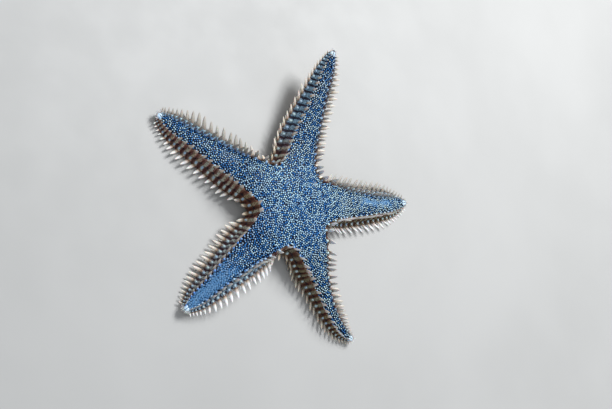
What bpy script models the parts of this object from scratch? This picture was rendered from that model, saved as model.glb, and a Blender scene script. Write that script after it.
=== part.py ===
"""A sand sea star (Astropecten), life size, lying on the floor with one arm reaching up.

The plan is one half arm, repeated ten times. Its lines run from the arm's axis to the margin, where
each marginal plate has one line on its crest and one in the groove beside it. The half arms are laid
out round the disc, and each arm is then bent along its own curve. Lengths are in millimetres until a
point is placed, and the object is in metres with +Z up.
"""

import math
import random

import bmesh
import bpy
import numpy as np
from mathutils import Matrix, Vector

MM = 0.001
ARMS = 5
SECTOR = math.radians(360 / ARMS)
HALF_SECTOR = SECTOR / 2

# Plan of a half arm: the upper margin is a hyperbola that rounds the corner between two arms, and
# the lower plates reach further out along the arm.
ARM_LENGTH = 57.0
CORNER_RADIUS = 16.9
EDGES_MEET_RADIUS = 14.2
TAPER = math.radians(6.5)
TIP_ROUND_FROM = 47.0
LOWER_SPREAD = 1.3
SPREAD_FROM = 14.0
SPREAD_LENGTH = 12.0
EDGE_INSET = 0.6
CURVE_SAMPLES = 4000

# Heights above the underside.
DISC_HEIGHT = 8.5
TIP_HEIGHT = 1.7
SHOULDER_DROP = 0.8

# Section of a half arm: the field's middle row, then how far in from the edge its outer rows lie, and
# how much of a groove's depth each row takes.
MIDFIELD_OUT = 0.55
MIDFIELD_CROWN = 0.72
FIELD_INSET = 2.2
SHOULDER_INSET = 1.25
SHOULDER_ROUND = 0.25
SEAM_INSET = 0.75
SEAM_HEIGHT = 0.5
BULGE_HEIGHT = 0.27
BULGE_RISE = 0.3
TOP_GROOVE = 0.6
SEAM_GROOVE = 0.8

# Rows of the section that something grows from.
FIELD_ROW, SHOULDER_ROW, BULGE_ROW, FURROW_EDGE_ROW, FURROW_ROOF_ROW = 2, 3, 5, 7, 8

# Marginal plates: their number on each side of an arm, and how much smaller the last one is.
PLATES = 20
LAST_PITCH = 0.42
FULL_PITCH_UNTIL = 11
GROOVE_DEPTH = 0.5
DISC_PLATES = 3
CUTS = (8, 14)
FULL_MARGIN_FROM = 5.0
LAST_GROOVE_FROM_TIP = 0.9

# Underside: the furrow that holds the tube feet, and the mouth at its inner end.
FURROW_HALF_WIDTH = 1.7
FURROW_DEPTH = 2.2
MOUTH_DEPTH = 1.6
MOUTH_RADIUS = 3.0

# How the star lies: the disc arches a little over the floor, and four arms rest on it. A rolled arm
# rests on the lower edge of one side.
DISC_CLEARANCE = 2.0
BEND_FROM = 14.0
SWING_LENGTH = 12.0
ON_FLOOR_FROM = 26.0
TIP_CURL_FROM = 50.0
TIP_CURL = 1.2
LIFT_POWER = 1.6
ROLL_FROM = 18.0
ROLL_LENGTH = 20.0
DISC_CENTRE = (-1.8, -7.06)
HALF_GAP = 0.15
ARM_SAMPLES = 800
FLAT_ENOUGH = math.radians(4)
MERGE_DISTANCE = 0.01

# Each arm's own length, its swing to the left near the disc, its further turn to the left by the tip and
# the power by which that turn grows, its lift at the tip, and its roll, left side up. Then, for its left
# and its right, the share of the width lost by the tip and the fringe's lean to the tip.
ARM_POSES = (
    dict(
        name="arm_1", length=62.0, swing=-8.0, turn=3.0, turn_power=1.0, lift=13.0, roll=0.0,
        slim=(0.24, 0.04), slim_from=18.0, slim_length=30.0, lean=(56, 30),
    ),
    dict(
        name="arm_2", length=57.5, swing=0.0, turn=-1.5, turn_power=1.0, lift=0.0, roll=0.0,
        slim=(0.0, 0.0), slim_from=18.0, slim_length=30.0, lean=(32, 30),
    ),
    dict(
        name="arm_3", length=55.5, swing=8.0, turn=-18.0, turn_power=1.0, lift=0.0, roll=14.0,
        slim=(0.25, 0.0), slim_from=18.0, slim_length=30.0, lean=(34, 26),
    ),
    dict(
        name="arm_4", length=56.2, swing=-4.5, turn=43.0, turn_power=3.0, lift=0.0, roll=5.0,
        slim=(0.28, 0.43), slim_from=14.0, slim_length=24.0, lean=(30, 46),
    ),
    dict(
        name="arm_5", length=60.5, swing=-10.0, turn=14.0, turn_power=1.0, lift=0.0, roll=0.0,
        slim=(0.0, 0.0), slim_from=18.0, slim_length=30.0, lean=(34, 44),
    ),
)

# Spines: one on the shoulder of each upper plate, and a broad one on the edge of each lower plate. The
# corner and tip values are the spine's share of its full size there.
SHOULDER_SPINE = dict(
    length=3.7, width=0.95, thickness=0.8, root=0.6, sides=3, belly_at=0.0, belly=1.0, corner=0.95, tip=0.42,
)
FRINGE_SPINE = dict(
    length=4.6, width=1.2, thickness=0.62, root=0.6, sides=4, belly_at=0.4, belly=1.45, corner=0.72, tip=0.4,
)
CORNER_PLATES = 4
SIZE_SPREAD = 0.06
LEAN_SPREAD = 0.06
SHOULDER_ROOT = 0.65
SHOULDER_LEAN_OUT = math.radians(10)
SHOULDER_LEAN_ALONG = math.radians(18)
FRINGE_RISE = math.radians(11)

# Tube feet stand in pairs, at every second plate, short of the floor.
FOOT_BASE_RADIUS = 0.42
FOOT_TIP_RADIUS = 0.24
FOOT_ROOT = 0.5
FOOT_FLOOR_GAP = 0.25
FOOT_OFFSET = 0.42
FOOT_SIDES = 3

# The sieve plate between the fifth arm and the first, and the plate at each arm's tip.
SIEVE_RADIUS = 1.5
SIEVE_THICKNESS = 1.1
SIEVE_FROM_CENTRE = 11.4
SIEVE_PROUD = 0.35
SIEVE_GAP = 0.3
SIEVE_RIM = 0.3
ROUND_SIDES = 12
TIP_PLATE_SIZE = (1.5, 1.25, 1.0)
TIP_PLATE_INSET = 1.1
TIP_PLATE_CLEARANCE = 0.1

SKIN = dict(color=(0.10, 0.17, 0.30, 1.0), roughness=0.6, metallic=0.0)
SIEVE = dict(color=(0.42, 0.36, 0.28, 1.0), roughness=0.7, metallic=0.0)

random_draw = random.Random(11)


def clear_scene():
    """Takes out whatever the file starts with."""
    for obj in list(bpy.data.objects):
        bpy.data.objects.remove(obj)


def smooth(x):
    """Runs from 0 to 1 as x does, with no slope at either end."""
    x = np.clip(x, 0.0, 1.0)
    return x * x * (3 - 2 * x)


def margin_curve():
    """Points of the margin from the corner to the tip as (along the arm, across it), with their arc lengths."""
    slope = 1 / math.tan(HALF_SECTOR + TAPER)
    rounding = CORNER_RADIUS - EDGES_MEET_RADIUS
    across_corner = np.linspace(0.0, ARM_LENGTH, CURVE_SAMPLES)
    outward = EDGES_MEET_RADIUS + np.sqrt(rounding**2 + (slope * across_corner) ** 2)
    along = outward * math.cos(HALF_SECTOR) + across_corner * math.sin(HALF_SECTOR)
    across = outward * math.sin(HALF_SECTOR) - across_corner * math.cos(HALF_SECTOR)
    along, across = along[along < ARM_LENGTH], across[along < ARM_LENGTH]
    past = np.clip((along - TIP_ROUND_FROM) / (ARM_LENGTH - TIP_ROUND_FROM), 0, 1)
    across = across * np.sqrt(1 - past**2)
    steps = np.hypot(np.diff(along), np.diff(across))
    return along, across, np.concatenate([[0.0], np.cumsum(steps)])


def margin_stations():
    """Each line's (along, across) on the margin: even lines lie in the grooves and odd ones on the plates."""
    along, across, arc = margin_curve()
    plates = np.arange(1, PLATES + 1)
    growth = (1 - LAST_PITCH) / (PLATES - FULL_PITCH_UNTIL)
    pitch = np.minimum(1.0, LAST_PITCH + growth * (PLATES - plates))
    last_arc = np.interp(ARM_LENGTH - LAST_GROOVE_FROM_TIP, along, arc)
    grooves = np.concatenate([[0.0], np.cumsum(pitch)]) * last_arc / pitch.sum()
    crests = (grooves[1:] + grooves[:-1]) / 2
    lines = np.sort(np.concatenate([grooves, crests]))
    return np.interp(lines, arc, along), np.interp(lines, arc, across)


STATION_ALONG, STATION_ACROSS = margin_stations()


def station(line, shift=0.0):
    """A line's start on the axis and its end on the margin, in plan. The lines fan out round the disc."""
    along = STATION_ALONG[line] + shift
    across = STATION_ACROSS[line]
    first, last = STATION_ALONG[0], STATION_ALONG[2 * DISC_PLATES]
    fan = 1 - smooth((STATION_ALONG[line] - first) / (last - first))
    start = along - fan * across / math.tan(HALF_SECTOR)
    return np.array([start, 0.0]), np.array([along, across])


def mid_height(along):
    """The arm's height on its midline."""
    return TIP_HEIGHT + (DISC_HEIGHT - TIP_HEIGHT) * (1 - (along / ARM_LENGTH) ** 2)


def lower_spread(along):
    """How much further out the lower plates reach than the upper ones."""
    return LOWER_SPREAD * smooth((along - SPREAD_FROM) / SPREAD_LENGTH)


def half_section(line, shift=0.0):
    """The points of a line from the top midline over the margin to the furrow, as (along, across, up)."""
    start, end = station(line, shift)
    length = float(np.linalg.norm(end - start))
    outward = (end - start) / length
    scale = min(1.0, length / FULL_MARGIN_FROM)
    groove = GROOVE_DEPTH * scale if line % 2 == 0 else 0.0
    middle = mid_height(start[0])
    shoulder = mid_height(end[0]) - SHOULDER_DROP * scale
    field = length - FIELD_INSET * scale
    furrow = FURROW_HALF_WIDTH * scale
    roof = FURROW_DEPTH * scale + MOUTH_DEPTH * math.exp(-((start[0] / MOUTH_RADIUS) ** 2))
    lower = length + lower_spread(end[0]) * scale
    top_groove, seam_groove = TOP_GROOVE * groove, SEAM_GROOVE * groove
    profile = (
        (0.0, middle),
        (MIDFIELD_OUT * field, shoulder + MIDFIELD_CROWN * (middle - shoulder)),
        (field, shoulder - top_groove),
        (length - SHOULDER_INSET * scale - top_groove, shoulder - SHOULDER_ROUND * scale - top_groove),
        ((length + lower) / 2 - SEAM_INSET * scale - seam_groove, SEAM_HEIGHT * shoulder),
        (lower - groove, BULGE_HEIGHT * shoulder + BULGE_RISE * scale),
        (lower - EDGE_INSET * scale, 0.0),
        (furrow, 0.0),
        (0.0, roof),
    )
    return np.array([(*(start + outward * out), up) for out, up in profile])


class ArmCurve:
    """The line that an arm's underside follows, with the frame that carries a point of the plan."""

    def __init__(self, number, pose):
        self.heading0 = math.radians(90) + SECTOR * number
        self.stretch_from = STATION_ALONG[2 * DISC_PLATES]
        self.pose, self.length = pose, pose["length"]
        self.arc = np.linspace(0.0, self.length + TIP_PLATE_SIZE[0], ARM_SAMPLES)
        bent = np.clip((self.arc - BEND_FROM) / (self.length - BEND_FROM), 0, 1)
        swung = smooth((self.arc - BEND_FROM) / SWING_LENGTH)
        turned = math.radians(pose["turn"]) * bent ** pose["turn_power"]
        self.heading = self.heading0 + math.radians(pose["swing"]) * swung + turned
        self.roll = math.radians(pose["roll"]) * smooth((self.arc - ROLL_FROM) / ROLL_LENGTH)
        if pose["lift"]:
            height = DISC_CLEARANCE + pose["lift"] * bent**LIFT_POWER
        else:
            settle = smooth((self.arc - BEND_FROM) / (ON_FLOOR_FROM - BEND_FROM))
            curl_from = TIP_CURL_FROM * self.length / ARM_LENGTH
            curl = np.clip((self.arc - curl_from) / (self.length - curl_from), 0, None)
            lower_edge = np.interp(self.arc * ARM_LENGTH / self.length, STATION_ALONG, STATION_ACROSS)
            lower_edge += lower_spread(self.arc) - EDGE_INSET
            lower_edge *= self.kept_width(self.arc * ARM_LENGTH / self.length, -pose["roll"])
            tipped = np.clip(lower_edge, 0, None) * np.abs(np.sin(self.roll))
            height = DISC_CLEARANCE * (1 - settle) + TIP_CURL * curl**2 + tipped
        self.height = height
        self.pitch = np.arcsin(np.gradient(height, self.arc))
        step = np.diff(self.arc, prepend=0.0) * np.cos(self.pitch)
        self.east = DISC_CENTRE[0] + np.cumsum(step * np.cos(self.heading))
        self.north = DISC_CENTRE[1] + np.cumsum(step * np.sin(self.heading))

    def kept_width(self, along, side):
        """The share of the plan's width that one side keeps at a distance along the plan arm."""
        slimmed = smooth((along - self.pose["slim_from"]) / self.pose["slim_length"])
        return 1 - self.pose["slim"][side < 0] * slimmed

    def frame(self, along):
        """Origin, forward, leftward and upward at a distance along the plan arm."""
        stretch = (self.length - self.stretch_from) / (ARM_LENGTH - self.stretch_from)
        arc = along if along < self.stretch_from else self.stretch_from + stretch * (along - self.stretch_from)
        at = [np.interp(arc, self.arc, v) for v in (self.east, self.north, self.height)]
        heading, pitch, roll = (np.interp(arc, self.arc, v) for v in (self.heading, self.pitch, self.roll))
        turn = Matrix.Rotation(heading, 3, "Z") @ Matrix.Rotation(-pitch, 3, "Y") @ Matrix.Rotation(roll, 3, "X")
        return Vector(at), turn

    def place(self, point, side):
        """A plan point (along, across, up) on one side of the arm, in the world and not under the floor."""
        origin, turn = self.frame(point[0])
        across = side * point[1] * self.kept_width(point[0], side)
        placed = origin + turn @ Vector((0.0, across, point[2]))
        placed.z = max(placed.z, 0.0)
        return placed

    def direction(self, along, vector, side):
        """A plan direction (forward, across, up) in the world."""
        return self.frame(along)[1] @ Vector((vector[0], side * vector[1], vector[2]))


def add_half(mesh, curve, side, lines, shifts):
    """Adds one half arm's surface between two lines, and returns its first and last rows of corners."""
    rows = []
    for line in range(lines[0], lines[1] + 1):
        shift = shifts.get(line, 0.0)
        section = half_section(line, shift)
        rows.append([mesh.verts.new(curve.place(p, side) * MM) for p in section])
    for near, far in zip(rows, rows[1:]):
        for a, b, c, d in zip(near, near[1:], far[1:], far):
            mesh.faces.new((a, b, c, d))
    return rows[0], rows[-1]


def add_cap(mesh, left, right):
    """Closes an arm's end with one face round both halves of its section."""
    mesh.faces.new([*left, *reversed(right)])


def closed_object(name, mesh, material):
    """Joins the halves at their shared edges, and makes the named object."""
    bmesh.ops.remove_doubles(mesh, verts=mesh.verts, dist=MERGE_DISTANCE * MM)
    bmesh.ops.dissolve_limit(mesh, angle_limit=FLAT_ENOUGH, verts=mesh.verts, edges=mesh.edges)
    bmesh.ops.triangulate(mesh, faces=mesh.faces)
    bmesh.ops.recalc_face_normals(mesh, faces=mesh.faces)
    data = bpy.data.meshes.new(name)
    mesh.to_mesh(data)
    mesh.free()
    data.materials.append(material)
    obj = bpy.data.objects.new(name, data)
    star.objects.link(obj)
    return obj


def spine_mesh(shape):
    """A tapered spine one unit long and wide along +Z from its root, broadest at its belly."""
    mesh = bmesh.new()
    bmesh.ops.create_cone(
        mesh, cap_ends=True, segments=shape["sides"], radius1=0.5, radius2=0.0, depth=1.0,
        matrix=Matrix.Translation((0, 0, 0.5)),
    )
    bmesh.ops.remove_doubles(mesh, verts=mesh.verts, dist=MERGE_DISTANCE)
    if shape["belly_at"]:
        cut = bmesh.ops.bisect_plane(
            mesh, geom=[*mesh.verts, *mesh.edges, *mesh.faces],
            plane_co=(0, 0, shape["belly_at"]), plane_no=(0, 0, 1),
        )
        belly = [g for g in cut["geom_cut"] if isinstance(g, bmesh.types.BMVert)]
        bmesh.ops.scale(mesh, verts=belly, vec=(shape["belly"], shape["belly"], 1.0))
    data = bpy.data.meshes.new("spine")
    mesh.to_mesh(data)
    mesh.free()
    return data


def add_spine(data, shape, root, direction, flat_along, size, growths):
    """Sets a spine on the surface, its root sunk in, and its broad side along the given direction."""
    axis = direction.normalized()
    across = (flat_along - axis * flat_along.dot(axis)).normalized()
    length = size * (shape["length"] + shape["root"])
    turn = Matrix((across, axis.cross(across), axis)).transposed().to_4x4()
    scale = Matrix.Diagonal((shape["width"] * size, shape["thickness"] * size, length, 1.0))
    obj = bpy.data.objects.new("growth", data)
    obj.matrix_world = Matrix.Diagonal((MM, MM, MM, 1.0)) @ (
        Matrix.Translation(root - axis * shape["root"] * size) @ turn @ scale
    )
    growths.objects.link(obj)


def spine_size(plate, shape):
    """How large a plate's spine is: less in the corner between arms, full along the arm, and small at its tip."""
    from_corner = shape["corner"] + (1 - shape["corner"]) * smooth((plate - 1) / CORNER_PLATES)
    to_tip = 1 - (1 - shape["tip"]) * smooth((plate - FULL_PITCH_UNTIL) / (PLATES - FULL_PITCH_UNTIL))
    return from_corner * to_tip * random_draw.uniform(1 - SIZE_SPREAD, 1 + SIZE_SPREAD)


def add_spines(curve, side, plate, growths):
    """The two spines of one pair of plates, upper and lower."""
    line = 2 * plate - 1
    section = half_section(line)
    start, end = station(line)
    out = (end - start) / np.linalg.norm(end - start)
    along = section[:, 0]
    forward = np.array([1.0, 0.0]) - out * out[0]
    forward = forward / np.linalg.norm(forward)

    lean = SHOULDER_LEAN_OUT + random_draw.uniform(-LEAN_SPREAD, LEAN_SPREAD)
    flat = math.sin(lean) * out + math.sin(SHOULDER_LEAN_ALONG) * forward
    up = math.cos(lean) * math.cos(SHOULDER_LEAN_ALONG)
    size = spine_size(plate, SHOULDER_SPINE)
    root = section[FIELD_ROW] + SHOULDER_ROOT * (section[SHOULDER_ROW] - section[FIELD_ROW])
    axis = curve.direction(along[SHOULDER_ROW], (*flat, up), side)
    tangent = curve.direction(along[SHOULDER_ROW], (*forward, 0.0), side)
    add_spine(shoulder_spine, SHOULDER_SPINE, curve.place(root, side), axis, tangent, size, growths)

    lean = math.radians(curve.pose["lean"][side < 0]) + random_draw.uniform(-LEAN_SPREAD, LEAN_SPREAD)
    flat = math.cos(lean) * out + math.sin(lean) * forward
    size = spine_size(plate, FRINGE_SPINE)
    root = curve.place(section[BULGE_ROW], side)
    axis = curve.direction(along[BULGE_ROW], (*flat, math.tan(FRINGE_RISE)), side)
    tangent = curve.direction(along[BULGE_ROW], (*forward, 0.0), side)
    add_spine(fringe_spine, FRINGE_SPINE, root, axis, tangent, size, growths)


def add_tube_foot(curve, side, plate, growths):
    """One tube foot hanging from the furrow's roof, short of the level that the arm rests on."""
    section = half_section(2 * plate - 1)
    furrow, roof = section[FURROW_EDGE_ROW][1], section[FURROW_ROOF_ROW][2]
    across = FOOT_OFFSET * furrow
    top = roof * (1 - FOOT_OFFSET) + FOOT_ROOT
    scale = furrow / FURROW_HALF_WIDTH
    along = section[FURROW_ROOF_ROW][0]
    mesh = bmesh.new()
    bmesh.ops.create_cone(
        mesh, cap_ends=True, segments=FOOT_SIDES,
        radius1=FOOT_TIP_RADIUS * scale, radius2=FOOT_BASE_RADIUS * scale, depth=top - FOOT_FLOOR_GAP,
    )
    data = bpy.data.meshes.new("tube_foot")
    mesh.to_mesh(data)
    mesh.free()
    turn = curve.frame(along)[1]
    centre = curve.place((along, across, (top + FOOT_FLOOR_GAP) / 2), side)
    obj = bpy.data.objects.new("growth", data)
    obj.matrix_world = Matrix.Diagonal((MM, MM, MM, 1.0)) @ Matrix.Translation(centre) @ turn.to_4x4()
    growths.objects.link(obj)


def add_tip_plate(curve, growths):
    """The rounded plate that ends an arm."""
    size_along, size_across, size_up = TIP_PLATE_SIZE
    mesh = bmesh.new()
    bmesh.ops.create_uvsphere(mesh, u_segments=8, v_segments=5, radius=1.0)
    data = bpy.data.meshes.new("tip_plate")
    mesh.to_mesh(data)
    mesh.free()
    along = ARM_LENGTH - TIP_PLATE_INSET
    turn = curve.frame(along)[1]
    obj = bpy.data.objects.new("growth", data)
    obj.matrix_world = (
        Matrix.Diagonal((MM, MM, MM, 1.0))
        @ Matrix.Translation(curve.place((along, 0.0, size_up + TIP_PLATE_CLEARANCE), 1))
        @ turn.to_4x4()
        @ Matrix.Diagonal((size_along, size_across, size_up, 1.0))
    )
    growths.objects.link(obj)


def apply_boolean(obj, operation, solver, **operand):
    """Joins or cuts with one Boolean, and keeps its result as the object's mesh."""
    modifier = obj.modifiers.new("join", "BOOLEAN")
    modifier.operation = operation
    modifier.solver = solver
    for key, value in operand.items():
        setattr(modifier, key, value)
    bpy.context.view_layer.update()
    graph = bpy.context.evaluated_depsgraph_get()
    joined = bpy.data.meshes.new_from_object(obj.evaluated_get(graph))
    obj.modifiers.remove(modifier)
    obj.data = joined


def keep_largest(obj):
    """Drops every loose surface but the one with most faces."""
    mesh = bmesh.new()
    mesh.from_mesh(obj.data)
    left = set(mesh.faces)
    groups = []
    while left:
        group, edge_of_group = set(), [left.pop()]
        while edge_of_group:
            face = edge_of_group.pop()
            group.add(face)
            for edge in face.edges:
                for other in edge.link_faces:
                    if other in left:
                        left.remove(other)
                        edge_of_group.append(other)
        groups.append(group)
    groups.sort(key=len)
    loose = [face for group in groups[:-1] for face in group]
    bmesh.ops.delete(mesh, geom=loose, context="FACES")
    mesh.to_mesh(obj.data)
    mesh.free()


def fuse(obj, growths):
    """Makes one closed body of a node and all that grows from it."""
    apply_boolean(obj, "UNION", "MANIFOLD", operand_type="COLLECTION", collection=growths)
    for growth in list(growths.objects):
        bpy.data.objects.remove(growth)
    bpy.data.collections.remove(growths)
    keep_largest(obj)


def growth_collection():
    """An empty collection for the pieces that a node is to be joined with."""
    growths = bpy.data.collections.new("growths")
    bpy.context.scene.collection.children.link(growths)
    return growths


def build_disc(curves):
    """The disc with the roots of all five arms and the corners between them."""
    cut_line = 2 * DISC_PLATES
    mesh = bmesh.new()
    growths = growth_collection()
    for curve in curves:
        ends = [add_half(mesh, curve, side, (0, cut_line), {cut_line: -HALF_GAP})[1] for side in (1, -1)]
        add_cap(mesh, *ends)
        for side in (1, -1):
            for plate in range(1, DISC_PLATES + 1):
                add_spines(curve, side, plate, growths)
            add_tube_foot(curve, side, 2, growths)
    disc = closed_object("disc", mesh, skin)
    fuse(disc, growths)
    return disc


def build_arm_length(name, curve, plates, at_tip):
    """One length of an arm, from the groove after its first given plate to the groove after its last."""
    lines = (2 * plates[0], 2 * plates[1])
    shifts = {lines[0]: HALF_GAP}
    if not at_tip:
        shifts[lines[1]] = -HALF_GAP
    mesh = bmesh.new()
    growths = growth_collection()
    halves = [add_half(mesh, curve, side, lines, shifts) for side in (1, -1)]
    add_cap(mesh, halves[0][0], halves[1][0])
    add_cap(mesh, halves[0][1], halves[1][1])
    for side in (1, -1):
        for plate in range(plates[0] + 1, plates[1] + 1):
            add_spines(curve, side, plate, growths)
            if plate % 2 == 0 and plate < PLATES - 1:
                add_tube_foot(curve, side, plate, growths)
    if at_tip:
        add_tip_plate(curve, growths)
    arm = closed_object(name, mesh, skin)
    fuse(arm, growths)
    return arm


def add_cylinder(name, collection, radius, depth, centre):
    """An upright cylinder of a real size, in a collection of the object's own."""
    bpy.ops.mesh.primitive_cylinder_add(vertices=ROUND_SIDES, radius=1.0, depth=1.0, location=centre * MM)
    made = bpy.context.object
    made.name = name
    made.data.name = name
    made.data.transform(Matrix.Diagonal((radius * MM, radius * MM, depth * MM, 1.0)))
    for other in made.users_collection:
        other.objects.unlink(made)
    collection.objects.link(made)
    return made


def build_sieve_plate(disc):
    """The sieve plate, a low button set in a pocket of the disc."""
    angle = math.radians(90) - HALF_SECTOR
    top = DISC_CLEARANCE + mid_height(STATION_ALONG[0]) - SHOULDER_DROP + SIEVE_PROUD
    centre = Vector((
        DISC_CENTRE[0] + SIEVE_FROM_CENTRE * math.cos(angle),
        DISC_CENTRE[1] + SIEVE_FROM_CENTRE * math.sin(angle),
        top - SIEVE_THICKNESS / 2,
    ))
    button = add_cylinder("sieve_plate", star, SIEVE_RADIUS, SIEVE_THICKNESS, centre)
    button.data.materials.append(sieve)
    bevel = button.modifiers.new("rounded rim", "BEVEL")
    bevel.width = SIEVE_RIM * MM
    bevel.segments = 1
    bevel.limit_method = "ANGLE"

    pocket = add_cylinder(
        "sieve_pocket", cutters, SIEVE_RADIUS + SIEVE_GAP, SIEVE_THICKNESS + 2 * SIEVE_GAP, centre
    )
    pocket.hide_render = True
    pocket.display_type = "WIRE"
    apply_boolean(disc, "DIFFERENCE", "MANIFOLD", operand_type="OBJECT", object=pocket)
    keep_largest(disc)


def material(name, look):
    """A Principled BSDF with one colour, roughness and metallic value."""
    made = bpy.data.materials.new(name)
    made.use_nodes = True
    shader = made.node_tree.nodes["Principled BSDF"]
    shader.inputs["Base Color"].default_value = look["color"]
    shader.inputs["Roughness"].default_value = look["roughness"]
    shader.inputs["Metallic"].default_value = look["metallic"]
    return made


clear_scene()
star = bpy.data.collections.new("sand_sea_star")
bpy.context.scene.collection.children.link(star)
cutters = bpy.data.collections.new("cutters")
bpy.context.scene.collection.children.link(cutters)
skin = material("speckled_blue_skin", SKIN)
sieve = material("sieve_plate", SIEVE)
shoulder_spine = spine_mesh(SHOULDER_SPINE)
fringe_spine = spine_mesh(FRINGE_SPINE)

arm_curves = [ArmCurve(number, pose) for number, pose in enumerate(ARM_POSES)]
disc_object = build_disc(arm_curves)
build_sieve_plate(disc_object)
ends = (DISC_PLATES, *CUTS, PLATES)
for arm_curve, pose in zip(arm_curves, ARM_POSES):
    for part, plates in zip(("inner", "middle", "outer"), zip(ends, ends[1:])):
        build_arm_length(f"{pose['name']}_{part}", arm_curve, plates, part == "outer")
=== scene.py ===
"""A sand sea star, life size, as it lies on the floor with one arm reaching up.

The body is worked out in millimetres on the plan of a half arm: a station q runs along the margin
from the corner between two arms (0) to the tip (1), and a place t runs round the wall from the top
midline (0) over the margin to the roof of the furrow (18). Ten half arms, bent along five arm lines,
make the whole star. Meshes are in metres with +Z up.
"""

import math

import bmesh
import bpy
import numpy as np
from mathutils import Matrix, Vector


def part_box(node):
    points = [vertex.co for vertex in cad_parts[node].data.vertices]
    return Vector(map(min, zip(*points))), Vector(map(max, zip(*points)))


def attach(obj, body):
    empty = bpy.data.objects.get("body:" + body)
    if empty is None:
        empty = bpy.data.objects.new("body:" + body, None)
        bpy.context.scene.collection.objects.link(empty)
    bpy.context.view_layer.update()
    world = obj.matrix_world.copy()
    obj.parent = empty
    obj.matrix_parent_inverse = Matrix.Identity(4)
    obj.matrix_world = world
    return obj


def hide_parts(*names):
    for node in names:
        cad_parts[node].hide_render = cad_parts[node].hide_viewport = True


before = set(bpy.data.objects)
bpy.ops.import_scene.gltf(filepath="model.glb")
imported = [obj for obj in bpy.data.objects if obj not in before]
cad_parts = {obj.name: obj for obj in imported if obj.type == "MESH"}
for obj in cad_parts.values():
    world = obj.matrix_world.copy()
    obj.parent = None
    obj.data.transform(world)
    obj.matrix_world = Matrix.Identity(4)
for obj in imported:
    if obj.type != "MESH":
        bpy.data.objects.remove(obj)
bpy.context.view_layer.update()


# The body wall is one leathery skin over small chalky plates, from the disc out to the five tips. It
# is soft and dark between the plates, and everything else on the animal stands on it. Blue above,
# red-brown in the grooves between the marginal plates, and pale tan beneath.

MM = 0.001
ARMS = 5
SIDES = (1, -1)
SECTOR = math.tau / ARMS
HALF_SECTOR = SECTOR / 2

ARM_LENGTH = 57.0
CORNER_RADIUS = 16.9
EDGES_MEET_RADIUS = 14.2
TAPER = math.radians(6.5)
TIP_ROUND_FROM = 47.0
LAST_GROOVE_FROM_TIP = 0.9
DISC_SHARE = 3 / 17.1
LOWER_SPREAD, SPREAD_FROM, SPREAD_LENGTH = 1.3, 14.0, 12.0
DISC_HEIGHT, TIP_HEIGHT, SHOULDER_DROP = 8.5, 1.7, 0.8
FIELD_INSET, FULL_MARGIN_FROM = 2.2, 5.0
FURROW_HALF_WIDTH, FURROW_DEPTH = 1.7, 2.2
MOUTH_DEPTH, MOUTH_RADIUS = 1.6, 3.0
COAT_DEPTH = 0.5
CROWN_POWER = 2.13
CONE_HEIGHT, CONE_RADIUS = 0.9, 1.5

PLATES = 20
FULL_PITCH_UNTIL = 11
LAST_PITCH = 0.42
GROOVE_DEPTH = 0.55

DISC_CENTRE = (-1.8, -7.06)
DISC_CLEARANCE = 2.0
BEND_FROM, SWING_LENGTH, ON_FLOOR_FROM = 14.0, 12.0, 26.0
TIP_CURL_FROM, TIP_CURL = 50.0, 1.2
LIFT_POWER = 1.6
ROLL_FROM, ROLL_LENGTH = 18.0, 20.0
EDGE_INSET = 0.6
PAST_TIP = 1.5
MARGIN_SAMPLES, LINE_SAMPLES = 4000, 800

# One value for each arm: its length, its swing near the disc and further turn by the tip, both to the
# left, the power by which that turn grows, its lift at the tip, its roll, left side up, the share of
# its width that its left and its right have lost by the tip, and where that loss starts and how long
# it takes.
REACH = np.array([62.0, 57.5, 55.5, 56.2, 60.5])
SWING = np.radians([-8.0, 0.0, 8.0, -4.5, -10.0])
TURN = np.radians([3.0, -1.5, -18.0, 43.0, 14.0])
TURN_POWER = np.array([1.0, 1.0, 1.0, 3.0, 1.0])
LIFT = np.array([13.0, 0.0, 0.0, 0.0, 0.0])
ROLL = np.radians([0.0, 0.0, 14.0, 5.0, 0.0])
SLIM = np.array([[0.24, 0.04], [0.0, 0.0], [0.25, 0.0], [0.28, 0.43], [0.0, 0.0]])
SLIM_FROM = np.array([18.0, 18.0, 18.0, 14.0, 18.0])
SLIM_LENGTH = np.array([30.0, 30.0, 30.0, 24.0, 30.0])


def smooth(x):
    """Three x squared less two x cubed, from 0 to 1 and flat at both ends."""
    x = np.clip(x, 0.0, 1.0)
    return x * x * (3 - 2 * x)


def unit(vectors):
    """Each vector over its own length."""
    return vectors / np.maximum(np.linalg.norm(vectors, axis=-1, keepdims=True), 1e-9)


def every(*values):
    """Every combination of the given values as flat arrays, the last changing fastest."""
    return [grid.ravel() for grid in np.meshgrid(*values, indexing="ij")]


def by_side(table, arm, side):
    """The value of an arm's left or right from a table of both."""
    return table[arm, (side < 0) * 1]


def margin_curve():
    """Along, across and arc length of the margin: a hyperbola from the corner, rounded off at the tip."""
    slope = 1 / math.tan(HALF_SECTOR + TAPER)
    sideways = np.linspace(0.0, ARM_LENGTH, MARGIN_SAMPLES)
    outward = EDGES_MEET_RADIUS + np.hypot(CORNER_RADIUS - EDGES_MEET_RADIUS, slope * sideways)
    along = outward * math.cos(HALF_SECTOR) + sideways * math.sin(HALF_SECTOR)
    across = outward * math.sin(HALF_SECTOR) - sideways * math.cos(HALF_SECTOR)
    along, across = along[along < ARM_LENGTH], across[along < ARM_LENGTH]
    past = np.clip((along - TIP_ROUND_FROM) / (ARM_LENGTH - TIP_ROUND_FROM), 0, 1)
    across = across * np.sqrt(1 - past**2)
    arc = np.concatenate([[0.0], np.cumsum(np.hypot(np.diff(along), np.diff(across)))])
    return along, across, arc


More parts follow.
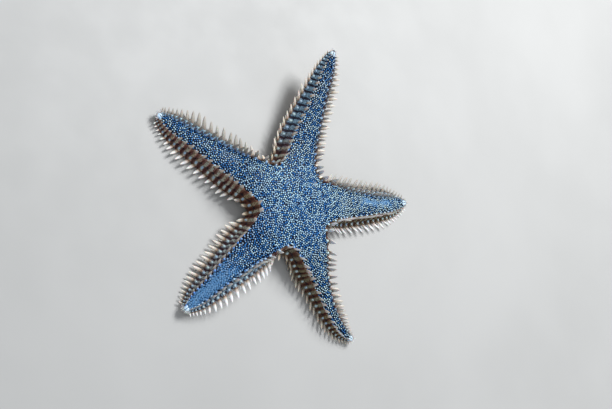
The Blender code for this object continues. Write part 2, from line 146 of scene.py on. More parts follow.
MARGIN_ALONG, MARGIN_ACROSS, MARGIN_ARC = margin_curve()
LAST_ARC = np.interp(ARM_LENGTH - LAST_GROOVE_FROM_TIP, MARGIN_ALONG, MARGIN_ARC)
CORNER_ALONG = MARGIN_ALONG[0]
DISC_END = np.interp(DISC_SHARE * LAST_ARC, MARGIN_ARC, MARGIN_ALONG)


def line(q):
    """A station's end on the margin (along, across) and its start on the axis. The lines fan out round
    the disc: at the corner a line starts at the centre, and from the disc's end on it runs straight
    across the arm."""
    arc = np.clip(q, 0, 1) * LAST_ARC
    along = np.interp(arc, MARGIN_ARC, MARGIN_ALONG)
    across = np.interp(arc, MARGIN_ARC, MARGIN_ACROSS)
    fan = 1 - smooth((along - CORNER_ALONG) / (DISC_END - CORNER_ALONG))
    return along, across, along - fan * across / math.tan(HALF_SECTOR)


def mid_height(along):
    """Height of the midline, a parabola from the disc to the tip."""
    return TIP_HEIGHT + (DISC_HEIGHT - TIP_HEIGHT) * (1 - (along / ARM_LENGTH) ** 2)


def plate_edges():
    """The grooves' stations: equal pitches, then shorter ones by equal steps to the tip."""
    plate = np.arange(1, PLATES + 1)
    step = (1 - LAST_PITCH) / (PLATES - FULL_PITCH_UNTIL)
    pitch = np.minimum(1.0, LAST_PITCH + step * (PLATES - plate))
    return np.concatenate([[0.0], np.cumsum(pitch)]) / pitch.sum()


EDGES = plate_edges()
CRESTS = (EDGES[1:] + EDGES[:-1]) / 2


def plate_relief(q):
    """1 on a plate's crest and 0 in the groove: one less the cube of the distance from the crest."""
    from_crest = np.abs(2 * (np.interp(q, EDGES, np.arange(PLATES + 1.0)) % 1.0) - 1)
    return 1 - from_crest**3


# How deep a groove cuts the wall at each of the section's control points.
GROOVE_WEIGHT = (0, 0, 0, 0, 0, 0.3, 0.8, 1, 1, 1, 1, 1, 0.9, 0.5, 0.3, 0, 0, 0, 0)


def groove_weight(t):
    """How deep a groove cuts the wall at a place t."""
    return np.interp(t, np.arange(19.0), GROOVE_WEIGHT)


def furrow_roof(start, s):
    """Height of the furrow's roof, raised over the mouth by a bell curve of the distance from it."""
    return FURROW_DEPTH * s + MOUTH_DEPTH * np.exp(-((start / MOUTH_RADIUS) ** 2))


def controls(q):
    """The section's 19 control points at stations q, as out from the axis and up, and its scale."""
    along, across, start = line(q)
    length = np.hypot(along - start, across)
    s = np.minimum(1.0, length / FULL_MARGIN_FROM)
    crown = mid_height(start)
    edge = mid_height(along) - SHOULDER_DROP * s
    field = length - FIELD_INSET * s
    spread = LOWER_SPREAD * smooth((along - SPREAD_FROM) / SPREAD_LENGTH) * s
    lower, half = length + spread, length + spread / 2
    furrow = FURROW_HALF_WIDTH * s
    roof = furrow_roof(start, s)

    def top(share):
        """Crown height less a power of the share of the field, less the coat."""
        return edge + (crown - edge) * (1 - share**CROWN_POWER) - COAT_DEPTH * s

    points = (
        (0 * s, top(0.0)),
        (0.28 * field, top(0.28)),
        (0.55 * field, top(0.55)),
        (0.80 * field, top(0.80)),
        (0.97 * field, top(0.97)),
        (field + 0.12 * s, edge - 0.85 * s),
        (field + 0.42 * s, edge - 0.22 * s),
        (length - 1.25 * s, edge - 0.12 * s),
        (half - 0.72 * s, 0.76 * edge),
        (half - 0.92 * s, 0.53 * edge),
        (half - 0.42 * s, 0.43 * edge),
        (lower - 0.10 * s, 0.27 * edge + 0.3 * s),
        (lower - 0.32 * s, 0.14 * s),
        (lower - 1.20 * s, 0.10 * s),
        (0.5 * (lower + furrow), 0.12 * s),
        (furrow + 0.90 * s, 0.12 * s),
        (furrow, 0.35 * s),
        (0.60 * furrow, 0.62 * roof),
        (0 * s, roof),
    )
    return np.array(points), (along, across, start, length, s)


def section(q, t, ridged=True):
    """The wall at (q, t) as (along, across, up). A centripetal curve runs through the control points,
    and is pushed in along its own normal by the groove depth less the plate's relief."""
    points, (along, across, start, length, s) = controls(q)
    before, after = points[1:2] * [[[-1.0], [1.0]]], points[-2:-1] * [[[-1.0], [1.0]]]
    points = np.concatenate([before, points, after])
    chord = np.sqrt(np.maximum(np.hypot(*np.moveaxis(np.diff(points, axis=0), 1, 0)), 1e-6))[:, None]
    slope = np.diff(points, axis=0) / chord
    tangent = slope[1:] + slope[:-1] - (points[2:] - points[:-2]) / (chord[1:] + chord[:-1])
    cell = np.clip(t.astype(int), 0, len(tangent) - 2)
    x = (t - cell)[:, None]
    n = np.arange(len(q))
    a, b = points[cell + 1, :, n], points[cell + 2, :, n]
    reach = chord[cell + 1, :, n]
    ta, tb = tangent[cell, :, n] * reach, tangent[cell + 1, :, n] * reach
    at = a * (2 * x**3 - 3 * x**2 + 1) + ta * (x**3 - 2 * x**2 + x)
    at += b * (3 * x**2 - 2 * x**3) + tb * (x**3 - x**2)
    way = a * (6 * x**2 - 6 * x) + ta * (3 * x**2 - 4 * x + 1) + b * (6 * x - 6 * x**2)
    way += tb * (3 * x**2 - 2 * x)
    normal = unit(np.stack([-way[:, 1], way[:, 0]], axis=1))
    depth = GROOVE_DEPTH * s * groove_weight(t)
    depth = depth * (1 - plate_relief(q)) if ridged else 0 * depth
    at = at - normal * depth[:, None]
    out, up = at[:, 0], at[:, 1]
    from_start = along - start
    place_along, place_across = start + out * from_start / length, out * across / length
    cone = CONE_HEIGHT * np.exp(-((np.hypot(place_along, place_across) / CONE_RADIUS) ** 2))
    return np.stack([place_along, place_across, up + np.where(t < 5, cone, 0.0)], axis=1)


def kept_width(arm, side, along):
    """The share of the plan's width that one side of an arm keeps at a plan distance along it."""
    return 1 - by_side(SLIM, arm, side) * smooth((along - SLIM_FROM[arm]) / SLIM_LENGTH[arm])


def arm_line(number):
    """An arm's underside from the disc's centre: arc, place, heading, pitch and roll at even steps. The
    heading swings by a smooth step and turns by a power; the height settles, curls or lifts."""
    arc = np.linspace(0.0, REACH[number] + PAST_TIP, LINE_SAMPLES)
    bent = np.clip((arc - BEND_FROM) / (REACH[number] - BEND_FROM), 0, 1)
    heading = math.pi / 2 + SECTOR * number
    heading = heading + SWING[number] * smooth((arc - BEND_FROM) / SWING_LENGTH)
    heading = heading + TURN[number] * bent ** TURN_POWER[number]
    roll = ROLL[number] * smooth((arc - ROLL_FROM) / ROLL_LENGTH)
    if LIFT[number]:
        height = DISC_CLEARANCE + LIFT[number] * bent**LIFT_POWER
    else:
        settle = smooth((arc - BEND_FROM) / (ON_FLOOR_FROM - BEND_FROM))
        curl_from = TIP_CURL_FROM * REACH[number] / ARM_LENGTH
        curl = np.clip((arc - curl_from) / (REACH[number] - curl_from), 0, None)
        edge = np.interp(arc * ARM_LENGTH / REACH[number], MARGIN_ALONG, MARGIN_ACROSS)
        edge = edge + LOWER_SPREAD * smooth((arc - SPREAD_FROM) / SPREAD_LENGTH) - EDGE_INSET
        edge = edge * kept_width(number, -ROLL[number], arc * ARM_LENGTH / REACH[number])
        tipped = np.clip(edge, 0, None) * np.abs(np.sin(roll))
        height = DISC_CLEARANCE * (1 - settle) + TIP_CURL * curl**2 + tipped
    pitch = np.arcsin(np.gradient(height, arc))
    step = np.diff(arc, prepend=0.0) * np.cos(pitch)
    east = DISC_CENTRE[0] + np.cumsum(step * np.cos(heading))
    north = DISC_CENTRE[1] + np.cumsum(step * np.sin(heading))
    return np.array([east, north, height, heading, pitch, roll])


ARM_LINES = np.array([arm_line(number) for number in range(ARMS)])


def arm_axes(arm, along):
    """Origin, forward, left and up of the arm's line at a plan distance along it."""
    stretch = (REACH[arm] - DISC_END) / (ARM_LENGTH - DISC_END)
    arc = np.where(along < DISC_END, along, DISC_END + stretch * (along - DISC_END))
    step = np.clip(arc / (REACH[arm] + PAST_TIP), 0, 1) * (LINE_SAMPLES - 1)
    cell = np.minimum(step.astype(int), LINE_SAMPLES - 2)
    x = (step - cell)[:, None]
    values = ARM_LINES[arm, :, cell] * (1 - x) + ARM_LINES[arm, :, cell + 1] * x
    heading, pitch, roll = values[:, 3], values[:, 4], values[:, 5]
    ch, sh, cp, sp = np.cos(heading), np.sin(heading), np.cos(pitch), np.sin(pitch)
    forward = np.stack([ch * cp, sh * cp, sp], axis=1)
    level = np.stack([-sh, ch, 0 * sh], axis=1)
    above = np.stack([-ch * sp, -sh * sp, cp], axis=1)
    cr, sr = np.cos(roll)[:, None], np.sin(roll)[:, None]
    return values[:, :3], forward, level * cr + above * sr, above * cr - level * sr


def lay_out(arm, side, plan):
    """Carries plan points (along, across, up) of a half arm into the world, and not under the floor."""
    origin, _, left, above = arm_axes(arm, plan[:, 0])
    across = side * plan[:, 1] * kept_width(arm, side, plan[:, 0])
    placed = origin + left * across[:, None] + above * plan[:, 2:3]
    placed[:, 2] = np.maximum(placed[:, 2], 0.0)
    return placed


def wall(arm, side, q, t):
    """Point, outward normal and tipward direction of the wall at (q, t), from two short steps on it."""
    dq, dt = 0.002, 0.05
    here = lay_out(arm, side, section(q, t))
    flat = lay_out(arm, side, section(q, t, ridged=False))
    ahead = lay_out(arm, side, section(np.minimum(q + dq, 1.0), t, ridged=False))
    behind = lay_out(arm, side, section(np.minimum(q + dq, 1.0) - 2 * dq, t, ridged=False))
    beside = lay_out(arm, side, section(q, t + dt, ridged=False))
    forward = unit(ahead - behind)
    return here, unit(np.cross(forward, beside - flat) * side[:, None]), forward


def mesh_object(name, points, quads, triangles=(), uv=None, **fields):
    """An object at the origin from points in millimetres, quads and triangles, with named values."""
    quads, triangles = np.array(quads, int).reshape(-1, 4), np.array(triangles, int).reshape(-1, 3)
    corners = np.concatenate([quads.ravel(), triangles.ravel()])
    sizes = np.concatenate([np.full(len(quads), 4), np.full(len(triangles), 3)])
    mesh = bpy.data.meshes.new(name)
    mesh.vertices.add(len(points))
    mesh.vertices.foreach_set("co", (points * MM).astype(np.float32).ravel())
    mesh.loops.add(len(corners))
    mesh.loops.foreach_set("vertex_index", corners.astype(np.int32))
    mesh.polygons.add(len(sizes))
    mesh.polygons.foreach_set("loop_start", (np.cumsum(sizes) - sizes).astype(np.int32))
    mesh.update(calc_edges=True)
    for field, values in fields.items():
        layer = mesh.attributes.new(field, "FLOAT", "POINT")
        layer.data.foreach_set("value", values.astype(np.float32))
    if uv is not None:
        layer = mesh.uv_layers.new(name="OFBake", do_init=False)
        layer.data.foreach_set("uv", uv[corners].astype(np.float32).ravel())
    mesh.shade_smooth()
    made = bpy.data.objects.new(name, mesh)
    bpy.context.scene.collection.objects.link(made)
    return made


def merge_seams(piece, distance):
    """Joins points that lie on one another, where halves meet and at poles."""
    loose = bmesh.new()
    loose.from_mesh(piece.data)
    bmesh.ops.remove_doubles(loose, verts=loose.verts, dist=distance * MM)
    loose.to_mesh(piece.data)
    loose.free()


draw = np.random.default_rng(23)

# Where the crowns are rubbed smooth, and a lighter even blue is painted on them as sheen in place of
# glare: the arm, from and to how far along it, how slowly it sets in, and its middle and half width.
WORN_SHEEN_PATCHES = ((2, 29.0, 66.0, 13.0, 0.6, 5.4), (4, 29.0, 53.0, 8.0, 1.2, 1.9))
WORN_SHEEN_DEPTH = 0.9
WORN_SHEEN_EDGE_WAVES = (4.5, 1.6)
MOTTLE_WAVES = 40
MOTTLE_HEADING, MOTTLE_PHASE = draw.uniform(0, math.tau, (2, MOTTLE_WAVES))
MOTTLE_SIZE = draw.uniform(0.8, 1.25, MOTTLE_WAVES)


def mottle(x, y, wavelength):
    """A wandering field of about unit spread: cosine waves of like length and seeded headings, added."""
    size = math.tau / (wavelength * MOTTLE_SIZE)
    waves = np.outer(x, np.cos(MOTTLE_HEADING) * size) + np.outer(y, np.sin(MOTTLE_HEADING) * size)
    return np.cos(waves + MOTTLE_PHASE).sum(1) / math.sqrt(MOTTLE_WAVES / 2)


def worn_share(arm, along, across):
    """How far the crowns are rubbed smooth and painted with sheen: a long blurred patch on two of the
    arms, its edge set in and out by the mottle."""
    edge = mottle(along, across, WORN_SHEEN_EDGE_WAVES[0]) + 0.5 * mottle(along, across, WORN_SHEEN_EDGE_WAVES[1])
    share = np.zeros(len(arm))
    for number, start, end, onset, middle, half_width in WORN_SHEEN_PATCHES:
        length = smooth((along - start + 2 * edge) / onset) * smooth((end - along + 2 * edge) / 6.0)
        sideways = smooth((half_width - np.abs(across - middle) + edge) / 4.0 + 0.2)
        share += np.where(arm == number, length * sideways, 0.0)
    return WORN_SHEEN_DEPTH * share


# How blue the margin is out on the left and the right of each arm.
BLUE_SHARE = np.array([[0.95, 0.5], [0.1, 0.9], [0.8, 0.4], [0.2, 0.0], [0.7, 0.0]])


def margin_blue(arm, side, q, t):
    """How blue the margin is: as far as its arm and side, from the corner outwards, and not beneath."""
    return by_side(BLUE_SHARE, arm, side) * smooth(q / 0.4) * (1 - smooth((t - 10.5) / 1.5))


LINES_PER_PLATE = 8
ROWS_BETWEEN_CONTROLS = (2, 2, 2, 2, 3, 3, 3, 5, 5, 4, 4, 4, 3, 3, 3, 3, 3, 3)
TIP_RINGS = 5
TIP_BULGE = 1.0

# Places t where the field ends and the underside begins, each with the width of its fade, and the two
# dark seams along the plates with their widths.
FIELD_END_T, FIELD_FADE = 4.2, 0.8
UNDER_FROM_T, UNDER_FADE = 11.6, 1.2
DARK_SEAMS = ((9, 0.35), (5, 0.5))


def skin_grid():
    """Stations and places of the skin's grid, then rings that close the tip on a quarter of an ellipse."""
    steps = np.arange(LINES_PER_PLATE) / LINES_PER_PLATE
    q = np.concatenate([(EDGES[:-1, None] + np.diff(EDGES)[:, None] * steps).ravel(), [1.0]])
    t = np.concatenate([i + np.arange(n) / n for i, n in enumerate(ROWS_BETWEEN_CONTROLS)] + [[18.0]])
    return q, t


def skin_half(number, side):
    """Points, faces and values of one half arm, as a grid of stations by places."""
    q, t = skin_grid()
    all_q, all_t = np.repeat(q, len(t)), np.tile(t, len(q))
    plan = section(all_q, all_t).reshape(len(q), len(t), 3)
    end = plan[-1]
    middle_up = (end[0, 2] + end[-1, 2]) / 2
    shrink = np.cos(np.arange(1, TIP_RINGS + 1) / TIP_RINGS * math.pi / 2)[:, None]
    ring_along = np.repeat(end[None, :, 0], TIP_RINGS, axis=0) + TIP_BULGE * np.sqrt(1 - shrink**2)
    ring = [ring_along, end[:, 1] * shrink, middle_up + (end[:, 2] - middle_up) * shrink]
    plan = np.concatenate([plan, np.stack(ring, axis=2)])
    rows, columns = plan.shape[:2]
    index = np.arange(rows * columns).reshape(rows, columns)
    faces = np.stack([index[:-1, :-1], index[1:, :-1], index[1:, 1:], index[:-1, 1:]], axis=-1)
    arm, sides, plan = np.full(index.size, number), np.full(index.size, side), plan.reshape(-1, 3)
    station, place = np.repeat(np.append(q, np.ones(TIP_RINGS)), columns), np.tile(t, rows)
    groove = groove_weight(all_t) * (1 - plate_relief(all_q)) ** 0.5
    values = {
        "groove": np.concatenate([groove, np.zeros(TIP_RINGS * columns)]),
        # Share of the rubbed patch, whose lighter blue is painted sheen.
        "worn": worn_share(arm, plan[:, 0], side * plan[:, 1]),
        "blue": margin_blue(arm, sides, station, place),
        "field": 1 - smooth((place - FIELD_END_T) / FIELD_FADE),
        "under": smooth((place - UNDER_FROM_T) / UNDER_FADE),
        "seam": sum(np.exp(-(((place - middle) / width) ** 2)) for middle, width in DARK_SEAMS),
    }
    return lay_out(arm, sides, plan), faces.reshape(-1, 4)[:, ::side], values


def build_skin():
    """Ten half arms on one grid each, side by side in one mesh."""
    points, faces, values = zip(*[skin_half(number, side) for number in range(ARMS) for side in SIDES])
    quads = [half + i * len(points[0]) for i, half in enumerate(faces)]
    fields = {name: np.concatenate([half[name] for half in values]) for name in values[0]}
    return mesh_object("body_skin", np.concatenate(points), np.concatenate(quads), **fields)


def node(tree, kind, values=None, **settings):
    """Adds a node, with its settings, and its sockets linked or given values."""
    made = tree.nodes.new(kind)
    for name, value in settings.items():
        setattr(made, name, value)
    for socket, value in (values or {}).items():
        if isinstance(value, bpy.types.NodeSocket):
            tree.links.new(value, made.inputs[socket])
        else:
            made.inputs[socket].default_value = value
    return made


def blend(tree, share, first, second):
    """A colour that goes from the first to the second with the share."""
    return node(tree, "ShaderNodeMix", {0: share, 6: first, 7: second}, data_type="RGBA").outputs[2]


def ramp(tree, value, start, end, low=0.0, high=1.0):
    """A smooth step of a value between two limits."""
    made = node(tree, "ShaderNodeMapRange", {"Value": value}, interpolation_type="SMOOTHSTEP")
    for name, number in (("From Min", start), ("From Max", end), ("To Min", low), ("To Max", high)):
        made.inputs[name].default_value = number
    return made.outputs["Result"]


def measure(tree, name):
    """A named value that the mesh carries."""
    return node(tree, "ShaderNodeAttribute", attribute_name=name, attribute_type="GEOMETRY").outputs["Fac"]


def coordinates(tree):
    """Object coordinates, in metres."""
    return node(tree, "ShaderNodeTexCoord").outputs["Object"]


def noise(tree, scale, detail=3.0):
    """Noise on object coordinates, with its scale in features per metre."""
    values = {"Vector": coordinates(tree), "Scale": scale, "Detail": detail}
    return node(tree, "ShaderNodeTexNoise", values).outputs["Fac"]


def combined(tree, operation, first, second, **settings):
    """Two values added or multiplied."""
    return node(tree, "ShaderNodeMath", {0: first, 1: second}, operation=operation, **settings).outputs[0]


def effect(name, inputs, outputs):
    """An empty node group with named sockets, and its input and output nodes."""
    tree = bpy.data.node_groups.new(name, "ShaderNodeTree")
    for kind, names in (("INPUT", inputs), ("OUTPUT", outputs)):
        for socket, sort in names:
            tree.interface.new_socket(socket, in_out=kind, socket_type="NodeSocket" + sort)
    return tree, tree.nodes.new("NodeGroupInput"), tree.nodes.new("NodeGroupOutput")


def placed(tree, group, values):
    """An effect's group in a material."""
    return node(tree, "ShaderNodeGroup", values, node_tree=group).outputs


def speckled_blue():
    """The star's blue: deep between the crowns and pale on their tops, as far as their rise and tone
    say. Away from the disc the deep is darker, and some arms' tops are duller or greener. Where rubbed
    smooth, the tops are one lighter blue, painted sheen in place of glare."""
    inputs = [(name, "Float") for name in ("Rise", "Tone", "Worn", "Dull", "Green")]
    tree, given, out = effect("speckled_blue", inputs, [("Color", "Color")])
    middle = (DISC_CENTRE[0] * MM, DISC_CENTRE[1] * MM, DISC_HEIGHT * MM)
    ends = {0: coordinates(tree), 1: middle}
    away = node(tree, "ShaderNodeVectorMath", ends, operation="DISTANCE").outputs["Value"]
    far = ramp(tree, away, DISC_TONES_END * MM, ARM_TONES_FROM * MM)
    patches = ramp(tree, noise(tree, 90.0, 2.0), 0.35, 0.65, -0.2, 0.3)
    patches = combined(tree, "ADD", patches, given.outputs["Dull"], use_clamp=True)
    flecks = ramp(tree, noise(tree, 420.0, 2.0), 0.56, 0.70, 0.0, 0.6)
    flecks = combined(tree, "ADD", flecks, given.outputs["Green"], use_clamp=True)
    rise = given.outputs["Rise"]
    ground = blend(tree, far, DEEP_BLUE, DEEP_DULL)
    body = blend(tree, far, MIDDLE_BLUE, MIDDLE_DULL)
    pale = blend(tree, flecks, blend(tree, patches, CROWN_PALE, CROWN_DULL), CROWN_GREEN)
    crest = blend(tree, given.outputs["Tone"], CROWN_BLUE, pale)
    low = blend(tree, ramp(tree, rise, 0.25, 0.70), ground, body)
    high = blend(tree, ramp(tree, rise, 0.72, 0.90), low, crest)
    # Painted sheen: in the rubbed patches one lighter, even blue stands in for glare off the wet crowns.
    worn_sheen_color = blend(tree, ramp(tree, rise, 0.0, 0.8), PAINTED_SHEEN_DEEP, PAINTED_SHEEN_BLUE)
    tree.links.new(blend(tree, given.outputs["Worn"], high, worn_sheen_color), out.inputs["Color"])
    return tree


def chalk_grain():
    """Fine pitted grain of chalky plates, as a height."""
    tree, given, out = effect("chalk_grain", (("Scale", "Float"),), (("Height", "Float"),))
    scale = given.outputs["Scale"]
    pits = node(tree, "ShaderNodeTexVoronoi", {"Vector": coordinates(tree), "Scale": scale})
    both = combined(tree, "ADD", noise(tree, scale, 4.0), pits.outputs["Distance"])
    tree.links.new(both, out.inputs["Height"])
    return tree


# How far from the middle the disc's own tones end, and from where the arms' own hold in full.
DISC_TONES_END, ARM_TONES_FROM = 9.0, 24.0

DEEP_BLUE = (0.001, 0.010, 0.050, 1)
DEEP_DULL = (0.001, 0.006, 0.030, 1)
MIDDLE_BLUE = (0.012, 0.110, 0.340, 1)
MIDDLE_DULL = (0.003, 0.032, 0.115, 1)
CROWN_BLUE = (0.034, 0.200, 0.540, 1)
CROWN_PALE = (0.590, 0.890, 1.000, 1)
CROWN_DULL = (0.370, 0.550, 0.820, 1)
CROWN_GREEN = (0.760, 0.960, 0.940, 1)
# Painted sheen: the lighter, even blues of the rubbed patches, between the crowns and on them.
PAINTED_SHEEN_DEEP = (0.050, 0.140, 0.300, 1)
PAINTED_SHEEN_BLUE = (0.078, 0.210, 0.410, 1)
MARGIN_BLUE = (0.040, 0.090, 0.180, 1)
GROOVE_BROWN = (0.085, 0.015, 0.008, 1)
GROOVE_BLUE = (0.030, 0.022, 0.040, 1)
PLATE_OLIVE = (0.230, 0.190, 0.115, 1)
UNDER_TAN = (0.420, 0.300, 0.170, 1)
SEAM_DARK = (0.016, 0.014, 0.030, 1)

SPECKLED_BLUE = speckled_blue()
CHALK_GRAIN = chalk_grain()


def finish(name, color, roughness, height, depth, coat=0.0, subsurface=0.0, gloss=0.5):
    """A material whose colour, roughness and bump come from nodes. The coat is a film of water."""
    made = bpy.data.materials.new(name)
    made.use_nodes = True
    tree = made.node_tree
    shader = tree.nodes["Principled BSDF"]
    tree.links.new(color(tree), shader.inputs["Base Color"])
    tree.links.new(roughness(tree), shader.inputs["Roughness"])
    bump = node(tree, "ShaderNodeBump", {"Height": height(tree), "Strength": 0.6, "Distance": depth * MM})
    tree.links.new(bump.outputs["Normal"], shader.inputs["Normal"])
    shader.inputs["Specular IOR Level"].default_value = gloss
    shader.inputs["Coat Weight"].default_value = coat
    shader.inputs["Coat Roughness"].default_value = 0.22
    shader.inputs["Subsurface Weight"].default_value = subsurface
    shader.inputs["Subsurface Scale"].default_value = 0.4 * MM
    return made


def grain(scale):
    """A bump height of chalk grain at one scale."""
    return lambda tree: placed(tree, CHALK_GRAIN, {"Scale": scale})["Height"]


def varied(low, high, scale):
    """A roughness that wanders between two values."""
    return lambda tree: ramp(tree, noise(tree, scale), 0.3, 0.7, low, high)


def skin_color(tree):
    """Blue in the field, olive to brown on the margin, tan beneath, and dark in grooves and seams."""
    given = {"Rise": 0.12, "Tone": 0.5, "Worn": measure(tree, "worn")}
    blue = placed(tree, SPECKLED_BLUE, given)["Color"]
    tan = blend(tree, ramp(tree, noise(tree, 900.0), 0.4, 0.6), PLATE_OLIVE, GROOVE_BROWN)
    beneath = blend(tree, ramp(tree, noise(tree, 500.0), 0.3, 0.7), UNDER_TAN, PLATE_OLIVE)
    tan = blend(tree, measure(tree, "blue"), tan, MARGIN_BLUE)
    side = blend(tree, measure(tree, "under"), tan, beneath)
    groove = blend(tree, measure(tree, "blue"), GROOVE_BROWN, GROOVE_BLUE)
    side = blend(tree, measure(tree, "groove"), side, groove)
    both = blend(tree, measure(tree, "field"), side, blue)
    return blend(tree, measure(tree, "seam"), both, SEAM_DARK)


body_skin = build_skin()
merge_seams(body_skin, 0.004)
body_skin.data.materials.append(
    finish("blue_skin", skin_color, varied(0.38, 0.6, 600.0), grain(2600.0), 0.05, coat=0.05, gloss=0.25)
)
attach(body_skin, "root")
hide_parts(*[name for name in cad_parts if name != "sieve_plate"])


# Paxillae: the upper side is paved with some thousands of tiny pillars, each of them a chalky post
# topped by a crown of blunt granules round a middle one. Pale tops on blue give the denim look.

PAXILLA_SPACING = 0.86
PAXILLA_TIP_SPACING = 0.76
PAXILLA_RADIUS = 0.385
PAXILLA_HEIGHT = 0.55
PETALS = 6
FIELD_LIMIT = 0.98
FIELD_END = ARM_LENGTH - 1.6
SCATTER = 0.24
SPREAD_REACH = 1.3
SPREAD_STEP = 0.35
SPREAD_ROUNDS = 6
SPREAD_BATCHES = 12
ROW_LENGTH = 30
HALVINGS = 30
LEAST_GAP = 0.66
PALE_MIDDLE, PALE_SPREAD, PALE_CLUSTERS = 0.52, 0.60, 0.30
CLUSTER_WAVE = 1.7
DARK_SPOT, DARK_SPOT_DEPTH = 1.8, 0.55

# One value for each arm: how much duller, how much greener and how many more its pale crowns are;
# on the fifth arm most of that added pallor is painted light, for the side that faces the light. Then
# how many more there are in the middle.
DULLER = np.array([0.35, 0.30, 0.60, 0.0, 0.0])
GREENER = np.array([0.35, 0.0, 0.0, 0.45, 0.35])
PALER_WITH_PAINTED_LIGHT = np.array([0.05, 0.0, -0.12, 0.10, 0.38])
PALER_MIDDLE = 0.14


def crown_shape():
    """A round dome whose radius and height wave with the cosine of its petals, narrowed to a neck.
    Returns points, quads, triangles, rise and patch places."""
    angle = np.arange(2 * PETALS) / (2 * PETALS) * math.tau
    wave = np.cos(PETALS * angle)
    rings = (
        (0.36 + 0 * wave, 0.95 + 0 * wave),
        (0.72 + 0.03 * wave, 0.80 + 0.05 * wave),
        (0.94 + 0.06 * wave, 0.45 + 0.04 * wave),
        (0.60 + 0 * wave, -0.35 + 0 * wave),
    )
    points = [np.stack([r * np.cos(angle), r * np.sin(angle), z], axis=1) for r, z in rings]
    return closed_rings(points, top=(0, 0, 1.0), bottom=(0, 0, -0.4))


def closed_rings(rings, top, bottom):
    """Rings of points from the top down, skinned with quads and closed by a fan at each end. The rise
    is each point's share of the height, and its patch place is its view from above."""
    count, sides = len(rings), len(rings[0])
    points = np.concatenate([*rings, [top], [bottom]]).astype(float)
    index = np.arange(count * sides).reshape(count, sides)
    turned = np.roll(index, -1, axis=1)
    quads = np.stack([index[:-1], index[1:], turned[1:], turned[:-1]], axis=-1).reshape(-1, 4)
    peak, foot = count * sides, count * sides + 1
    cap = np.stack([np.full(sides, peak), index[0], turned[0]], axis=1)
    base = np.stack([np.full(sides, foot), turned[-1], index[-1]], axis=1)
    rise = np.clip(points[:, 2] / max(points[:, 2].max(), 1e-9), 0, 1)
    patch = points[:, :2] / np.abs(points[:, :2]).max()
    return points, quads, np.concatenate([cap, base]), rise, patch


PATCH = 0.003


def stamped(name, shape, roots, axes, sizes, strip, strips, q, t, **fields):
    """Joins a copy of a shape at every root into one piece. Each copy's points are its root plus its
    own x, y and z along three axes, and its map is a small patch at its root on the unrolled wall."""
    points, quads, triangles, rise, patch = shape
    count, corners = len(roots), len(points)
    local = points[None] * sizes[:, None, :]
    placed_points = roots[:, None] + sum(local[..., i : i + 1] * axes[i][:, None] for i in range(3))
    placed_points[..., 2] = np.maximum(placed_points[..., 2], 0.02)
    first = (np.arange(count) * corners)[:, None, None]
    unrolled = np.stack([0.01 + 0.98 * q, (strip + 0.03 + 0.94 * t / 18) / strips], axis=1)
    uv = unrolled[:, None] + patch[None] * PATCH / 2
    fields = {field: np.repeat(values, corners) for field, values in fields.items()}
    return mesh_object(
        name, placed_points.reshape(-1, 3), quads[None] + first, triangles[None] + first,
        uv=uv.reshape(-1, 2), rise=np.tile(rise, count), **fields,
    )


def paxilla_spacing(along):
    """The distance between neighbours, falling evenly from the middle of the disc to the tip."""
    return PAXILLA_SPACING + (PAXILLA_TIP_SPACING - PAXILLA_SPACING) * np.clip(along / ARM_LENGTH, 0, 1)


def paxilla_rows():
    """Places in the plan of a half arm: rows across it, each set half a step from the last."""
    rows, along = [], 0.0
    while along < REACH.max() + PAST_TIP:
        across = (np.arange(ROW_LENGTH) + 0.5 * (len(rows) % 2)) * paxilla_spacing(along)
        rows.append(np.stack([np.full(ROW_LENGTH, along), across], axis=1))
        along += paxilla_spacing(along) * math.sqrt(0.75)
    rows = np.concatenate(rows)
    return rows[rows[:, 1] <= rows[:, 0] * math.tan(HALF_SECTOR)]


def station_of(along, across):
    """Finds the line that runs through a plan point, by halving the range of q again and again, and
    how far out on it the point lies. Returns q, out, the field's half width and the line's start."""
    low, high = np.zeros(len(along)), np.ones(len(along))
    for _ in range(HALVINGS):
        q = (low + high) / 2
        end_along, end_across, start = line(q)
        past = (end_along - start) * across - end_across * (along - start) > 0
        low, high = np.where(past, low, q), np.where(past, q, high)
    end_along, end_across, start = line(q)
    length = np.hypot(end_along - start, end_across)
    field = length - FIELD_INSET * np.minimum(1.0, length / FULL_MARGIN_FROM)
    return q, np.hypot(along - start, across), np.maximum(field, 1e-6), start


def over_top():
    """Distance over the top of each arm from the middle of the disc, at even steps of the plan. Where an
    arm bends down or up it is longer or shorter than the plan."""
    distances = []
    for number in range(ARMS):
        origin, _, _, above = arm_axes(np.full(len(PLAN_STEPS), number), PLAN_STEPS)
        top = origin + above * mid_height(PLAN_STEPS)[:, None]
        steps = np.linalg.norm(np.diff(top, axis=0), axis=1)
        distances.append(np.concatenate([[0.0], np.cumsum(steps)]))
    return np.array(distances)


PLAN_STEPS = np.linspace(0, ARM_LENGTH, 400)
OVER_TOP = over_top()


def on_arm(x, y):
    """The arm that a place round the centre belongs to, and its plan distances along and across it."""
    bearing, radius = np.arctan2(y, x), np.hypot(x, y)
    turns = np.round(bearing / SECTOR)
    arm, aside = turns.astype(int) % ARMS, bearing - turns * SECTOR
    along = radius * np.cos(aside)
    for number in range(ARMS):
        along[arm == number] = np.interp(along[arm == number], OVER_TOP[number], PLAN_STEPS)
    return arm, along, radius * np.sin(aside) / kept_width(arm, aside, along)


def turned(arm, over, across):
    """A place on the first arm turned round the centre onto another arm."""
    turn = arm * SECTOR
    return over * np.cos(turn) - across * np.sin(turn), over * np.sin(turn) + across * np.cos(turn)


def round_centre(arm, along, across):
    """The place round the centre of plan distances along and across an arm."""
    over, across = along.copy(), across * kept_width(arm, across, along)
    for number in range(ARMS):
        over[arm == number] = np.interp(along[arm == number], PLAN_STEPS, OVER_TOP[number])
    return turned(arm, over, across)


